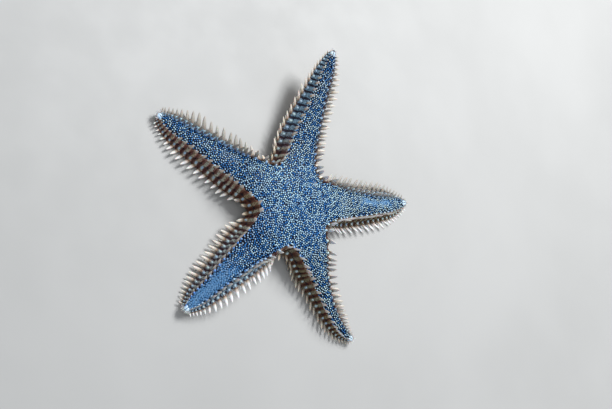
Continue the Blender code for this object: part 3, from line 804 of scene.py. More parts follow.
def held_in(x, y):
    """Places past the field's edge are drawn back to it along their own line."""
    arm, along, across = on_arm(x, y)
    _, out, field, start = station_of(along, np.abs(across))
    share = np.minimum(1.0, FIELD_LIMIT * field / np.maximum(out, 1e-6))
    return round_centre(arm, np.minimum(start + (along - start) * share, FIELD_END), across * share)


def spread_apart(x, y):
    """Moves each place away from its neighbours, by the square of one less their distance over the
    reach, which evens out the gaps and keeps the scatter. A few hundred places are moved at a time."""
    for _ in range(SPREAD_ROUNDS):
        reach = SPREAD_REACH * paxilla_spacing(np.hypot(x, y))
        moved = []
        for own in np.array_split(np.arange(len(x)), SPREAD_BATCHES):
            dx, dy = x[own, None] - x, y[own, None] - y
            gap = np.sqrt(dx * dx + dy * dy) + 1e-3
            push = np.clip(1 - gap / reach[own, None], 0, None) ** 2 / gap
            moved.append(np.stack([(dx * push).sum(1), (dy * push).sum(1)]) * SPREAD_STEP)
        step = np.concatenate(moved, axis=1)
        x, y = held_in(x + step[0], y + step[1])
    return x, y


def paxilla_places():
    """Arm, side, q, t, along and across of every paxilla: the arms' rows scattered a little, spread
    apart, and thinned where two are left too close."""
    half = paxilla_rows()
    both = np.concatenate([half, half[half[:, 1] > 0] * [1, -1]])
    arm = np.repeat(np.arange(ARMS), len(both))
    over, across = (np.tile(both[:, i], ARMS) + draw.normal(0, SCATTER, len(arm)) for i in (0, 1))
    x, y = turned(arm, over, across)
    _, along, across = on_arm(x, y)
    _, out, field, _ = station_of(along, np.abs(across))
    inside = (out < field) & (along < FIELD_END)
    x, y = spread_apart(x[inside], y[inside])
    gap = np.hypot(x[:, None] - x, y[:, None] - y)
    least = LEAST_GAP * paxilla_spacing(np.hypot(x, y))
    keep = ~np.tril(gap < least[:, None], -1).any(1)
    arm, along, across = on_arm(x[keep], y[keep])
    q, out, field, _ = station_of(along, np.abs(across))
    t = np.interp(out / field, (0, 0.28, 0.55, 0.80, 0.97), (0, 1, 2, 3, 4))
    return arm, np.where(across < 0, -1, 1), q, t, along, across


def crown_color(tree):
    """The speckled blue, by each crown's rise and tone."""
    given = {name.title(): measure(tree, name) for name in ("rise", "tone", "worn", "dull", "green")}
    return placed(tree, SPECKLED_BLUE, given)["Color"]


crown_finish = finish(
    "paxilla_crowns", crown_color, varied(0.45, 0.65, 900.0), grain(5200.0), 0.03, gloss=0.2
)
pax_arm, pax_side, pax_q, pax_t, pax_along, pax_across = paxilla_places()
pax_root, pax_up, pax_forward = wall(pax_arm, pax_side, pax_q, pax_t)
pax_turn = draw.uniform(0, math.tau, len(pax_q))[:, None]
pax_level = np.cross(pax_up, pax_forward)
pax_x = pax_forward * np.cos(pax_turn) + pax_level * np.sin(pax_turn)
pax_y = np.cross(pax_up, pax_x)
pax_scale = paxilla_spacing(pax_along) / PAXILLA_SPACING
pax_worn = worn_share(pax_arm, pax_along, pax_across)
pax_far = np.hypot(pax_along, pax_across) - DISC_TONES_END
pax_far = smooth(pax_far / (ARM_TONES_FROM - DISC_TONES_END))
pax_tone = draw.normal(PALE_MIDDLE, PALE_SPREAD, len(pax_q))
# Painted light: the fifth arm's added pallor lightens it where it faces the light.
pax_tone = pax_tone + PALER_MIDDLE * (1 - pax_far) + PALER_WITH_PAINTED_LIGHT[pax_arm] * pax_far
pax_place = round_centre(pax_arm, pax_along, pax_across)
pax_tone = smooth(pax_tone + PALE_CLUSTERS * mottle(*pax_place, CLUSTER_WAVE))
pax_spot = np.exp(-((pax_along**2 + pax_across**2) / DARK_SPOT**2))
pax_tone = pax_tone * (1 - DARK_SPOT_DEPTH * pax_spot)
for number in range(ARMS):
    own = pax_arm == number
    count = own.sum()
    # In the rubbed patches the crowns are wider and lower, and their lighter blue is painted sheen.
    width = PAXILLA_RADIUS * pax_scale[own] * draw.uniform(0.82, 1.1, count) * (1 + 0.5 * pax_worn[own])
    tall = PAXILLA_HEIGHT * (1 - 0.65 * pax_worn[own]) * draw.uniform(0.8, 1.12, count)
    tall = tall * np.minimum(1.0, 0.55 + 0.45 * pax_scale[own])
    paxillae = stamped(
        f"paxillae_{number + 1}", crown_shape(), pax_root[own], (pax_x[own], pax_y[own], pax_up[own]),
        np.stack([width, width, tall], axis=1), (pax_side[own] < 0) * 1.0, 2, pax_q[own], pax_t[own],
        tone=pax_tone[own], worn=pax_worn[own], dull=DULLER[number] * pax_far[own],
        green=GREENER[number] * pax_far[own],
    )
    paxillae.data.materials.append(crown_finish)
    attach(paxillae, "root")


# Marginal plates: two rows of thick chalky blocks frame each arm, an upper and a lower one, with a
# groove after each pair. Small flat scales clad them, and each ends at the top in a smooth blue bead.

UPPER_ROWS = (5.5, 5.9, 6.3, 6.75, 7.1, 7.36, 7.62, 7.88, 8.14, 8.42, 8.7)
LOWER_ROWS = (9.4, 9.75, 10.1, 10.4, 10.7, 11.0, 11.3, 11.7, 12.1, 12.6)
SCALE_COLUMNS = (0.25, 0.375, 0.5, 0.625, 0.75)
SCALE_RADIUS = 0.25
SCALE_HEIGHT = 0.16

# On the left and the right of each arm: how far painted shade darkens the scales, and how pale the upper
# beads.
PAINTED_SHADE_SHARE = np.array([[0.0, 0.1], [0.0, 0.2], [0.1, 0.1], [0.1, 0.60], [0.4, 0.70]])
BEAD_PALE = np.array([[0.70, 0.35], [0.75, 0.40], [0.40, 0.10], [0.80, 0.45], [0.60, 0.70]])

# The beads' radii, and the share of its relief that a plate has lost where its scales turn brown.
UPPER_BEAD, LOWER_BEAD = 0.58, 0.64
EDGE_FROM, EDGE_WIDTH = 0.01, 0.10

SCALE_OLIVE = (0.340, 0.290, 0.165, 1)
SCALE_TAN = (0.500, 0.370, 0.230, 1)
SCALE_GREY = (0.520, 0.520, 0.420, 1)
SCALE_BLUE = (0.200, 0.350, 0.480, 1)
# Painted shade: the dark olive towards which the scales of shaded flanks are darkened.
PAINTED_SHADE_OLIVE = (0.085, 0.085, 0.038, 1)
SCALE_BROWN = (0.170, 0.045, 0.024, 1)
BEAD_BLUE = (0.090, 0.280, 0.750, 1)
BEAD_CYAN = (0.640, 0.830, 0.850, 1)


def dome_shape(sides, shoulder=0.85):
    """A low dome of two rings: a wide foot sunk in the wall and a shoulder, closed on top."""
    angle = np.arange(sides) / sides * math.tau
    ring = np.stack([np.cos(angle), np.sin(angle)], axis=1)
    rings = [np.column_stack([ring * shoulder, np.full(sides, 0.62)]),
             np.column_stack([ring, np.full(sides, -0.5)])]
    return closed_rings(rings, top=(0, 0, 1.0), bottom=(0, 0, -0.6))


def laid(name, shape, places, sizes, strip, strips, **fields):
    """Joins copies of a shape that lie on the wall, their own x towards the arm's tip."""
    root, out, forward = wall(*places)
    axes = (forward, np.cross(out, forward), out)
    return stamped(name, shape, root, axes, sizes, strip, strips, *places[2:], **fields)


def plate_places(rows, columns, jitter):
    """Arm, side, q and t of a grid of rows and columns on every plate of the ten margins."""
    arm, side, plate, t, column = every(range(ARMS), SIDES, range(PLATES), rows, columns)
    q = EDGES[plate] + (EDGES[plate + 1] - EDGES[plate]) * (column + draw.normal(0, jitter, len(arm)))
    return arm, side, np.clip(q, 0, 1), t + draw.normal(0, jitter, len(arm))


def plate_scale(q):
    """How large things on a plate are at a station: in full, and then less by its share of the pitch."""
    pitch = np.diff(EDGES) / EDGES[1]
    return np.interp(q, CRESTS, pitch)


def margin_color(tree):
    """Olive to tan by tone, with greyer patches, red-brown towards the groove, darkened by painted shade on
    some sides, bluer on some sides, and dark at each scale's foot."""
    clad = blend(tree, ramp(tree, measure(tree, "tone"), 0.2, 0.8), SCALE_OLIVE, SCALE_TAN)
    clad = blend(tree, ramp(tree, noise(tree, 160.0), 0.38, 0.62), clad, SCALE_GREY)
    clad = blend(tree, measure(tree, "edge"), clad, SCALE_BROWN)
    # Painted shade: flanks that lie in shade get their scales darkened towards a dark olive.
    clad = blend(tree, measure(tree, "shade"), clad, PAINTED_SHADE_OLIVE)
    clad = blend(tree, measure(tree, "blue"), clad, SCALE_BLUE)
    foot = blend(tree, measure(tree, "blue"), GROOVE_BROWN, GROOVE_BLUE)
    return blend(tree, ramp(tree, measure(tree, "rise"), 0.0, 0.5), foot, clad)


def bead_color(tree):
    """Bright blue to cyan-white by tone."""
    return blend(tree, measure(tree, "tone"), BEAD_BLUE, BEAD_CYAN)


margin_finish = finish(
    "margin_scales", margin_color, varied(0.4, 0.6, 700.0), grain(4200.0), 0.03, gloss=0.35
)
scale_places = plate_places(UPPER_ROWS + LOWER_ROWS, SCALE_COLUMNS, 0.035)
scale_size = SCALE_RADIUS * plate_scale(scale_places[2])[:, None]
scale_size = scale_size * draw.uniform(0.85, 1.15, scale_size.shape)
scale_size = scale_size * [[1.0, 1.15, SCALE_HEIGHT / SCALE_RADIUS]]
for number in range(ARMS):
    own = scale_places[0] == number
    arm, side, q, t = [values[own] for values in scale_places]
    margin = laid(
        f"margin_scales_{number + 1}", dome_shape(5), (arm, side, q, t), scale_size[own],
        (side < 0) * 1.0, 2, tone=draw.uniform(0, 1, len(q)), blue=margin_blue(arm, side, q, t),
        edge=smooth((1 - plate_relief(q) - EDGE_FROM) / EDGE_WIDTH), shade=by_side(PAINTED_SHADE_SHARE, arm, side),
    )
    margin.data.materials.append(margin_finish)
    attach(margin, "root")


def margin_beads():
    """One bead on each upper and lower plate, the upper ones as pale as their arm and side."""
    arm, side, q, t = places = plate_places((6.1, 10.1), (0.5,), 0.02)
    size = np.where(t < 8, UPPER_BEAD, LOWER_BEAD) * plate_scale(q) ** 0.7
    size = (size * draw.uniform(0.85, 1.1, len(q)))[:, None]
    tone = np.where(t < 8, by_side(BEAD_PALE, arm, side), 0.8)
    tone = np.clip(tone + draw.uniform(-0.25, 0.25, len(q)), 0, 1)
    return laid("margin_beads", dome_shape(8, 0.8), places, size * [[0.85, 1.1, 0.8]],
                arm * 2 + (side < 0), 2 * ARMS, tone=tone)


beads = margin_beads()
beads.data.materials.append(
    finish("blue_beads", bead_color, varied(0.25, 0.4, 900.0), grain(3000.0), 0.02, coat=0.5)
)
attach(beads, "root")


# Spines: an upright one stands on the shoulder of each upper plate, and a broad flat one on the edge
# of each lower plate, with smaller ones below and beside it. Chalk, tan at the root and pale at the tip.

SHOULDER_SPINE = dict(length=4.0, width=1.15, thickness=0.75, sink=0.5)
FRINGE_SPINE = dict(length=4.6, width=1.45, thickness=0.55, sink=0.5)
SECOND_SPINE = dict(length=2.4, width=0.80, thickness=0.42, sink=0.4)
SPINELET = dict(length=1.3, width=0.42, thickness=0.32, sink=0.25)

# The stations over which spines shorten to the tip.
SHORTER_FROM, SHORTER_LENGTH = 0.643, 0.357

SPINE_ROOT = (0.150, 0.080, 0.052, 1)
SPINE_DULL = (0.300, 0.285, 0.250, 1)
SPINE_TAN = (0.470, 0.345, 0.225, 1)
SPINE_TIP = (0.860, 0.740, 0.580, 1)
SPINE_WHITE = (0.820, 0.830, 0.840, 1)

# On the left and the right of each arm: the fringe's lean to the tip, its share of its full length, and
# how white and then how dull it and the shoulder spines are.
FRINGE_LEAN = np.radians([[56, 30], [32, 30], [34, 26], [30, 46], [34, 44]])
FRINGE_SHARE = np.array([[0.82, 0.84], [0.86, 1.0], [0.88, 0.90], [0.82, 0.82], [0.92, 0.82]])
FRINGE_WHITE = np.array([[0.35, 0.40], [0.75, 0.45], [0.95, 0.45], [0.40, 0.05], [0.60, 0.95]])
SHOULDER_WHITE = np.array([[0.40, 0.45], [0.35, 0.10], [0.60, 0.35], [0.65, 0.60], [0.45, 0.65]])
FRINGE_DULL = np.array([[0.1, 0.3], [0.0, 0.75], [0.0, 0.2], [0.35, 0.65], [0.75, 0.0]])
SHOULDER_DULL = np.array([[0.1, 0.2], [0.25, 0.65], [0.0, 0.15], [0.1, 0.1], [0.40, 0.1]])


def spine_shape(sides, widths):
    """A spine one unit long and one wide: ellipses whose half width follows the given values from the
    tip down, closed to a point. The patch runs round it and up it."""
    angle = np.arange(sides) / sides * math.tau
    ring = np.stack([np.cos(angle), np.sin(angle)], axis=1) / 2
    heights = 1 - np.linspace(0.06, 1, len(widths)) ** 1.15
    rings = [np.column_stack([ring * w, np.full(sides, z)]) for w, z in zip(widths, heights)]
    points, quads, triangles, _, _ = closed_rings(rings, top=(0, 0, 1.0), bottom=(0, 0, -0.02))
    around = np.concatenate([np.tile(np.linspace(-1, 1, sides), len(widths)), [0, 0]])
    patch = np.stack([around, 2 * points[:, 2] - 1], axis=1)
    return points, quads, triangles, np.clip(points[:, 2], 0, 1), patch


MAIN_SPINE = spine_shape(8, (0.24, 0.60, 0.87, 1.0, 0.97, 0.72))
SMALL_SPINE = spine_shape(5, (0.30, 0.75, 1.0, 0.8))


def leaning(arm, side, q, out, forward, up):
    """World directions from parts out along the line, forward beside it, and up."""
    along, across, start = line(q)
    length = np.hypot(along - start, across)
    out_along, out_across = (along - start) / length, across / length
    _, ahead, left, above = arm_axes(arm, start + out_along * length)
    plan_along = out * out_along + forward * out_across
    plan_across = out * out_across - forward * out_along
    return unit(ahead * plan_along[:, None] + left * (side * plan_across)[:, None] + above * up[:, None])


def broad_in_corner(q):
    """How much broader spines are in the corners between the arms."""
    return 1 + 0.35 * (1 - smooth(q / 0.3))


def growth(q, corner, tip):
    """A spine's share of its full size: from the corner's up to full, then down to the tip's."""
    from_corner = corner + (1 - corner) * smooth(q / 0.2)
    return from_corner * (1 - (1 - tip) * smooth((q - SHORTER_FROM) / SHORTER_LENGTH))


def spines(name, shape, kind, places, direction, size, white, dull=0.0, broad=1.0):
    """One piece of spines of a kind, sunk at their roots, broad side along the margin."""
    arm, side, q, t = places
    root = wall(arm, side, q, t)[0]
    zero = np.zeros(len(q))
    beside = leaning(arm, side, q, zero, zero + 1, zero)
    across = unit(beside - direction * (beside * direction).sum(1, keepdims=True))
    full = (kind["width"] * broad, kind["thickness"], kind["length"] + kind["sink"])
    lengths = np.stack([length * size for length in full], axis=1)
    return stamped(
        name, shape, root - direction * kind["sink"] * size[:, None],
        (across, np.cross(direction, across), direction), lengths, arm * 2 + (side < 0), 2 * ARMS, q, t,
        white=white * np.ones(len(q)), dull=dull * np.ones(len(q)),
    )


def spine_color(tree):
    """Brown root, tan shaft and pale tip by the rise, whiter or duller where the spine is."""
    rise = measure(tree, "rise")
    shaft = blend(tree, ramp(tree, rise, 0.10, 0.40), SPINE_ROOT, SPINE_TAN)
    tipped = blend(tree, ramp(tree, rise, 0.40, 0.75), shaft, SPINE_TIP)
    pale = combined(tree, "MULTIPLY", measure(tree, "white"), ramp(tree, rise, 0.20, 0.55))
    tipped = blend(tree, measure(tree, "dull"), blend(tree, pale, tipped, SPINE_WHITE), SPINE_DULL)
    stain = ramp(tree, noise(tree, 1300.0, 2.0), 0.55, 0.8, 0.0, 0.5)
    return blend(tree, stain, tipped, SPINE_ROOT)


spine_finish = finish(
    "chalk_spines", spine_color, varied(0.35, 0.55, 1100.0), grain(3600.0), 0.03, coat=0.15, subsurface=0.15
)


def plate_line(t):
    """One place on every plate's crest at a given t: arm, side, q and t."""
    return plate_places((t,), (0.5,), 0.03)


def wander(count, spread):
    """Small seeded differences between like pieces."""
    return draw.normal(0, spread, count)


def shoulder_spines():
    """The upright spines of the upper plates, tipped a little outwards and to the arm's tip."""
    places = plate_line(7.05)
    arm, side, q, _ = places
    n = len(q)
    out, ahead = np.sin(math.radians(7) + wander(n, 0.05)), np.sin(math.radians(5) + wander(n, 0.06))
    direction = leaning(arm, side, q, out, ahead, np.sqrt(1 - out**2 - ahead**2))
    return spines("shoulder_spines", MAIN_SPINE, SHOULDER_SPINE, places, direction,
                  growth(q, 0.95, 0.42) * (1 + wander(n, 0.04)),
                  by_side(SHOULDER_WHITE, arm, side) + 0.3 * (1 - smooth(q / 0.25)),
                  by_side(SHOULDER_DULL, arm, side) * smooth(q / 0.25), broad_in_corner(q))


def fringe_spines(name, shape, kind, t, further, rise, size_share):
    """Spines of the lower plates, leaning further to the tip by one angle and up from level by another."""
    places = plate_line(t)
    arm, side, q, _ = places
    n = len(q)
    lean = by_side(FRINGE_LEAN, arm, side) + math.radians(further)
    angle = lean * (0.25 + 0.75 * smooth(q / 0.2)) + wander(n, 0.05)
    up = np.tan(math.radians(rise) + wander(n, 0.03))
    direction = leaning(arm, side, q, np.cos(angle), np.sin(angle), up)
    size = growth(q, 0.72, 0.4) * size_share * by_side(FRINGE_SHARE, arm, side) * (1 + wander(n, 0.04))
    return spines(name, shape, kind, places, direction, size,
                  by_side(FRINGE_WHITE, arm, side) * smooth(q / 0.15),
                  by_side(FRINGE_DULL, arm, side) * smooth(q / 0.25), broad_in_corner(q))


spine_pieces = [
    shoulder_spines(),
    fringe_spines("fringe_spines", MAIN_SPINE, FRINGE_SPINE, 11.0, 0, 11, 1.0),
    fringe_spines("second_fringe_spines", MAIN_SPINE, SECOND_SPINE, 11.75, 6, 0, 1.0),
    fringe_spines("upper_spinelets", SMALL_SPINE, SPINELET, 10.45, -10, 48, 0.9),
]
for piece in spine_pieces:
    piece.data.materials.append(spine_finish)
    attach(piece, "root")


# Underside: flat overlapping scales pave it from the lower plates to the furrow, and along each edge
# of the furrow small spines fold in over the tube feet. Five jaws point into the mouth.

UNDER_ROWS = (13.05, 13.35, 13.65, 13.95, 14.25, 14.55, 14.85)
UNDER_SCALE_RADIUS = 0.40
UNDER_SCALE_HEIGHT = 0.13
FURROW_STEPS = 44
FURROW_SPINE = dict(length=1.35, width=0.34, thickness=0.26, sink=0.2)
JAW_SPINE = dict(length=1.5, width=0.46, thickness=0.36, sink=0.25)
JAW_STATIONS = np.array([0.010, 0.034])
JAW_PLACES = np.array([14.7, 15.1, 15.5, 15.9])
UNDER_PALE = (0.560, 0.440, 0.280, 1)


def under_color(tree):
    """Tan scales of two tones, darker at the foot."""
    clad = blend(tree, measure(tree, "tone"), UNDER_TAN, UNDER_PALE)
    return blend(tree, ramp(tree, measure(tree, "rise"), 0.0, 0.6), PLATE_OLIVE, clad)


def underside():
    """Flat scales in rows on every plate of the lower side."""
    arm, side, q, _ = places = plate_places(UNDER_ROWS, (0.2, 0.5, 0.8), 0.03)
    size = UNDER_SCALE_RADIUS * plate_scale(q)[:, None] * draw.uniform(0.9, 1.1, (len(q), 1))
    return laid("under_scales", dome_shape(6), places,
                size * [[1.0, 1.1, UNDER_SCALE_HEIGHT / UNDER_SCALE_RADIUS]],
                arm * 2 + (side < 0), 2 * ARMS, tone=draw.uniform(0, 1, len(q)))


under_scales = underside()
under_scales.data.materials.append(
    finish("under_scales", under_color, varied(0.45, 0.65, 600.0), grain(4200.0), 0.03, coat=0.1)
)
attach(under_scales, "root")


def furrow_places(t, spread):
    """Even steps along both edges of the five furrows, from the mouth's rim to near the tips."""
    step = (np.arange(FURROW_STEPS) + 0.5) / FURROW_STEPS
    arm, side, q, shift = every(range(ARMS), SIDES, step, spread)
    q = 0.015 + 0.97 * q**0.95 + shift / FURROW_STEPS
    return (arm, side, np.clip(q, 0, 1), np.full(len(q), t)), shift


def furrow_spines(name, t, spread, inward, down):
    """Small spines at the furrow's edge in fans of a few, folded in over it."""
    places, shift = furrow_places(t, spread)
    arm, side, q, _ = places
    n = len(q)
    fan = 0.8 * shift + wander(n, 0.08)
    direction = leaning(arm, side, q, -inward * np.cos(fan), np.sin(fan), np.full(n, -down))
    size = np.minimum(1.0, controls(q)[1][4]) * (1 + wander(n, 0.06))
    return spines(name, SMALL_SPINE, FURROW_SPINE, places, direction, size, 0.4)


def jaw_spines():
    """Spines of the five jaws, two rows on each side of a corner's line, pointing in over the mouth."""
    arm, side, q, t = every(range(ARMS), SIDES, JAW_STATIONS, JAW_PLACES)
    n = len(q)
    direction = leaning(arm, side, q, -1 + wander(n, 0.05), wander(n, 0.1), -0.25 + wander(n, 0.05))
    size = np.interp(t, JAW_PLACES, np.linspace(0.75, 1.1, len(JAW_PLACES))) * (1 + wander(n, 0.06))
    return spines("jaw_spines", SMALL_SPINE, JAW_SPINE, (arm, side, q, t), direction, size, 0.7)


for piece in (
    furrow_spines("furrow_spines", 15.9, (-0.3, 0.0, 0.3), 1.0, 0.12),
    furrow_spines("furrow_edge_spines", 15.2, (-0.2, 0.2), -0.5, 0.10),
    jaw_spines(),
):
    piece.data.materials.append(spine_finish)
    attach(piece, "root")


# Tube feet: soft pointed tubes in two rows down each furrow, which it walks and digs with. They
# hang just short of the floor, and are amber and a little clear.

FOOT_STEPS = 30
FIRST_FOOT, FEET_SPAN = 0.10, 0.86
FOOT_RADIUS = 0.48
FOOT_OFFSET = 0.42
FOOT_GAP = 0.22
FOOT_AMBER = (0.620, 0.330, 0.110, 1)
FOOT_PALE = (0.860, 0.700, 0.430, 1)


def foot_shape():
    """A tube that swells a little, narrows and ends in a blunt cone, pointing along +z."""
    widths = (0.30, 0.62, 0.74, 0.80, 0.92, 1.0)
    points, quads, triangles, rise, patch = spine_shape(7, widths)
    return points * [2, 2, 1], quads, triangles, rise, patch


def tube_feet():
    """Pairs of feet from the roof of the furrow to just above what the arm rests on."""
    step = (np.arange(FOOT_STEPS) + 0.5) / FOOT_STEPS
    arm, side, q = every(range(ARMS), SIDES, FIRST_FOOT + FEET_SPAN * step)
    _, _, start, _, s = controls(q)[1]
    rise = furrow_roof(start, s) * 0.8 + 0.2
    root = np.stack([start, FOOT_OFFSET * FURROW_HALF_WIDTH * s, rise], axis=1)
    n = len(q)
    origin = lay_out(arm, side, root)
    _, ahead, left, above = arm_axes(arm, start)
    lean = wander(n, 0.10)[:, None]
    direction = unit(ahead * lean + left * wander(n, 0.05)[:, None] - above)
    reach = np.minimum(rise, origin[:, 2]) - FOOT_GAP
    width = FOOT_RADIUS * s * (1 + wander(n, 0.08))
    sizes = np.stack([width, width, np.maximum(reach, 0.3)], axis=1)
    axes = (unit(np.cross(left, direction)), left, direction)
    return stamped("tube_feet", foot_shape(), origin, axes, sizes, arm * 2 + (side < 0), 2 * ARMS,
                   q, np.full(n, 17.0), tone=draw.uniform(0, 1, n))


def foot_color(tree):
    """Amber at the root and paler at the point, each a little unlike."""
    both = blend(tree, ramp(tree, measure(tree, "rise"), 0.2, 1.0), FOOT_AMBER, FOOT_PALE)
    return blend(tree, ramp(tree, noise(tree, 800.0), 0.45, 0.75, 0.0, 0.4), both, FOOT_AMBER)


feet = tube_feet()
feet.data.materials.append(
    finish("soft_feet", foot_color, varied(0.25, 0.4, 900.0), grain(1800.0), 0.02, coat=0.4, subsurface=0.4)
)
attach(feet, "root")


# Tip plates: each arm ends in one smooth rounded plate, nearly white, notched on top and tufted with
# a few short spines.

TIP_PLATE_SIZE = (1.45, 1.2, 0.95)
TIP_PLATE_INSET = 1.1
TIP_NOTCH, TIP_NOTCH_WIDTH = 0.28, 0.22
TIP_SPINES = 9
TIP_WHITE = (0.600, 0.760, 0.880, 1)
TIP_BLUE = (0.200, 0.420, 0.720, 1)


def tip_plates():
    """Rounded plates, each a sphere's grid stretched to three sizes, with a groove along its top."""
    columns, rows = 24, 13
    turn = np.arange(columns) / columns * math.tau
    rings = []
    for tilt in np.linspace(0, math.pi, rows)[1:-1]:
        x, y, up = np.cos(turn) * math.sin(tilt), np.sin(turn) * math.sin(tilt), math.cos(tilt)
        groove = TIP_NOTCH * np.exp(-((y / TIP_NOTCH_WIDTH) ** 2)) * max(up, 0)
        rings.append(np.stack([x, y, up - groove], axis=1))
    shape = closed_rings(rings, top=(0, 0, 1 - TIP_NOTCH), bottom=(0, 0, -1))
    arm = np.arange(ARMS)
    origin, ahead, left, above = arm_axes(arm, np.full(ARMS, ARM_LENGTH - TIP_PLATE_INSET))
    root = origin + above * (TIP_PLATE_SIZE[2] + 0.1)
    return stamped("tip_plates", shape, root, (ahead, left, above), np.tile(TIP_PLATE_SIZE, (ARMS, 1)),
                   arm * 1.0, ARMS, np.full(ARMS, 0.98), np.full(ARMS, 9.0))


def tip_color(tree):
    """Nearly white, tinged blue."""
    return blend(tree, ramp(tree, noise(tree, 700.0), 0.45, 0.75), TIP_WHITE, TIP_BLUE)


def tip_spines():
    """A fan of short spines round the end of each tip plate."""
    arm, fan, lift = every(range(ARMS), np.linspace(-1.2, 1.2, TIP_SPINES), (0.25, 0.75))
    n = len(arm)
    origin, ahead, left, above = arm_axes(arm, np.full(n, ARM_LENGTH - TIP_PLATE_INSET))
    flat = ahead * np.cos(fan)[:, None] + left * np.sin(fan)[:, None]
    direction = unit(flat + above * (lift + wander(n, 0.1))[:, None])
    width, _, tall = TIP_PLATE_SIZE
    root = origin + flat * (width * 0.72) + above * (tall * (0.7 + lift[:, None] * 0.7))
    across = unit(np.cross(above, direction))
    size = np.array([[0.26, 0.22, 1.25]]) * (1 + wander(n, 0.12))[:, None]
    return stamped("tip_spines", SMALL_SPINE, root, (across, np.cross(direction, across), direction), size,
                   arm * 1.0, ARMS, np.full(n, 0.99) + fan * 0.005, 9 + lift + fan,
                   white=np.full(n, 0.95), dull=np.zeros(n))


tips = tip_plates()
tips.data.materials.append(
    finish("tip_plates", tip_color, varied(0.3, 0.5, 700.0), grain(3000.0), 0.03, coat=0.3)
)
tufts = tip_spines()
tufts.data.materials.append(spine_finish)
for piece, slot in ((tips, "margin_plates"), (tufts, "spines")):
    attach(piece, "root")


# Sieve plate: a small round plate near one corner, grooved from its middle outwards, through which
# the animal takes in water. Chalk, set flush among the paxillae.

SIEVE_RIDGES = 22
SIEVE_RIDGE = 0.09
SIEVE_COLUMNS = 132
SIEVE_SHARES = np.linspace(0.06, 1.0, 14)
SIEVE_COLOURS = ((0.100, 0.160, 0.240, 1), (0.400, 0.420, 0.400, 1))


def sieve_wave(turn, share):
    """Ridges of the sieve plate: the cosine of the angle, which wriggles with the radius's own sine."""
    return np.cos(SIEVE_RIDGES * turn + 2.2 * np.sin(5 * share) + 3 * np.sin(turn * 3))


def sieve_plate():
    """A low dome on a polar grid, its height waving with the ridges."""
    low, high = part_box("sieve_plate")
    radius = (high.x - low.x) / 2 / MM
    middle = np.array([(low.x + high.x) / 2, (low.y + high.y) / 2, 0]) / MM
    turn = np.arange(SIEVE_COLUMNS) / SIEVE_COLUMNS * math.tau
    rings = []
    for share in SIEVE_SHARES:
        ridge = sieve_wave(turn, share) * min(1, share * 2)
        rim = 0.25 * max(0, share - 0.9) * 10
        up = high.z / MM - 0.25 * share**2 + SIEVE_RIDGE * ridge - SIEVE_RIDGE - rim
        out = share * radius
        rings.append(middle + np.stack([out * np.cos(turn), out * np.sin(turn), up], axis=1))
    foot = rings[-1].copy()
    foot[:, 2] = low.z / MM + 0.3
    points, quads, triangles, _, _ = closed_rings(
        [*rings, foot], top=middle + [0, 0, high.z / MM], bottom=middle + [0, 0, low.z / MM + 0.3]
    )
    around = np.concatenate([np.tile(turn, len(SIEVE_SHARES) + 1), [0, 0]])
    share = np.concatenate([np.repeat(np.append(SIEVE_SHARES, 1.0), SIEVE_COLUMNS), [0, 1]])
    return mesh_object("sieve_button", points, quads, triangles, ridge=0.5 + 0.5 * sieve_wave(around, share))


def sieve_color(tree):
    """Slate in the grooves and pale on the ridges."""
    return blend(tree, ramp(tree, measure(tree, "ridge"), 0.2, 0.9), *SIEVE_COLOURS)


sieve = sieve_plate()
sieve.data.materials.append(
    finish("sieve_chalk", sieve_color, varied(0.4, 0.6, 900.0), grain(4000.0), 0.02, coat=0.2)
)
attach(sieve, "root")
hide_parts("sieve_plate")


# The floor, the light and the camera: a pale plain floor, soft light from above and to the right of
# the picture, and the camera where the picture was taken from.

IMAGE_WIDTH, FOCAL_PIXELS = 612, 815.0
CAMERA_DISTANCE, CAMERA_TILT, CAMERA_AZIMUTH, CAMERA_ROLL = 286.1, 37.5, 208.3, 6.36
LOOK_AT = np.array([*DISC_CENTRE, 10.5])
OFF_CENTRE = (7.7 / FOCAL_PIXELS, -0.9 / FOCAL_PIXELS)
SENSOR = 36.0
FLOOR_SIZE = 4000.0
FLOOR_COLOURS = ((0.49, 0.49, 0.48, 1), (0.52, 0.52, 0.51, 1))


def toward(azimuth, elevation):
    """Unit vector at an azimuth and elevation in degrees."""
    a, e = math.radians(azimuth), math.radians(elevation)
    return np.array([math.cos(e) * math.cos(a), math.cos(e) * math.sin(a), math.sin(e)])


def facing(place, back, up):
    """A matrix at a place whose +z points back and whose +y is near up."""
    right = unit(np.cross(up, back))
    turn = Matrix(np.column_stack([right, np.cross(back, right), back]).tolist()).to_4x4()
    return Matrix.Translation(place * MM) @ turn


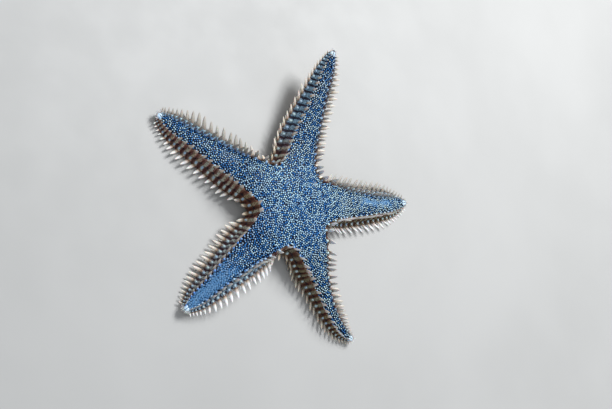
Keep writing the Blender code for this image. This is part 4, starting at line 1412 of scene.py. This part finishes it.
def camera_place():
    """Back along the view's axis from the disc, turned a little so that the disc sits off centre."""
    back = toward(CAMERA_AZIMUTH, 90 - CAMERA_TILT)
    level = unit(np.array([0, 1, 0]) - back * back[1])
    side = np.cross(level, back)
    roll = math.radians(CAMERA_ROLL)
    right = side * math.cos(roll) + level * math.sin(roll)
    up = level * math.cos(roll) - side * math.sin(roll)
    aside = unit(back - right * OFF_CENTRE[0] - up * OFF_CENTRE[1])
    return facing(LOOK_AT + back * CAMERA_DISTANCE, aside, up)


def soft_light(name, azimuth, elevation, distance, size, power, color):
    """A square area light that looks at the star."""
    data = bpy.data.lights.new(name, "AREA")
    data.size, data.energy, data.color = size * MM, power, color
    lamp = bpy.data.objects.new(name, data)
    back = toward(azimuth, elevation)
    lamp.matrix_world = facing(LOOK_AT + back * distance, back, np.array([0.1, 0.0, 1.0]))
    bpy.context.scene.collection.objects.link(lamp)


def floor_color(tree):
    """Pale grey with the faintest wandering tone."""
    return blend(tree, ramp(tree, noise(tree, 14.0), 0.3, 0.7), *FLOOR_COLOURS)


corners = np.array([[-1, -1, 0], [1, -1, 0], [1, 1, 0], [-1, 1, 0]]) * FLOOR_SIZE / 2
floor = mesh_object("floor", corners, [[0, 1, 2, 3]])
floor.data.materials.append(finish("pale_floor", floor_color, varied(0.6, 0.75, 60.0), grain(300.0), 0.01))

soft_light("key", 62.0, 52.0, 620.0, 220.0, 4.5, (0.98, 0.99, 1.0))
soft_light("fill", 200.0, 60.0, 700.0, 500.0, 0.8, (0.90, 0.95, 1.0))
soft_light("low", 300.0, 25.0, 700.0, 400.0, 0.45, (0.95, 0.97, 1.0))

scene = bpy.context.scene
world = bpy.data.worlds.new("studio")
world.use_nodes = True
world.node_tree.nodes["Background"].inputs["Color"].default_value = (0.90, 0.94, 1.0, 1)
world.node_tree.nodes["Background"].inputs["Strength"].default_value = 0.27
scene.world = world
scene.view_settings.view_transform = "Standard"

lens = bpy.data.cameras.new("camera")
lens.sensor_width = SENSOR
lens.lens = FOCAL_PIXELS * SENSOR / IMAGE_WIDTH
lens.clip_start, lens.clip_end = 0.01, 20.0
camera = bpy.data.objects.new("camera", lens)
camera.matrix_world = camera_place()
scene.collection.objects.link(camera)
scene.camera = camera
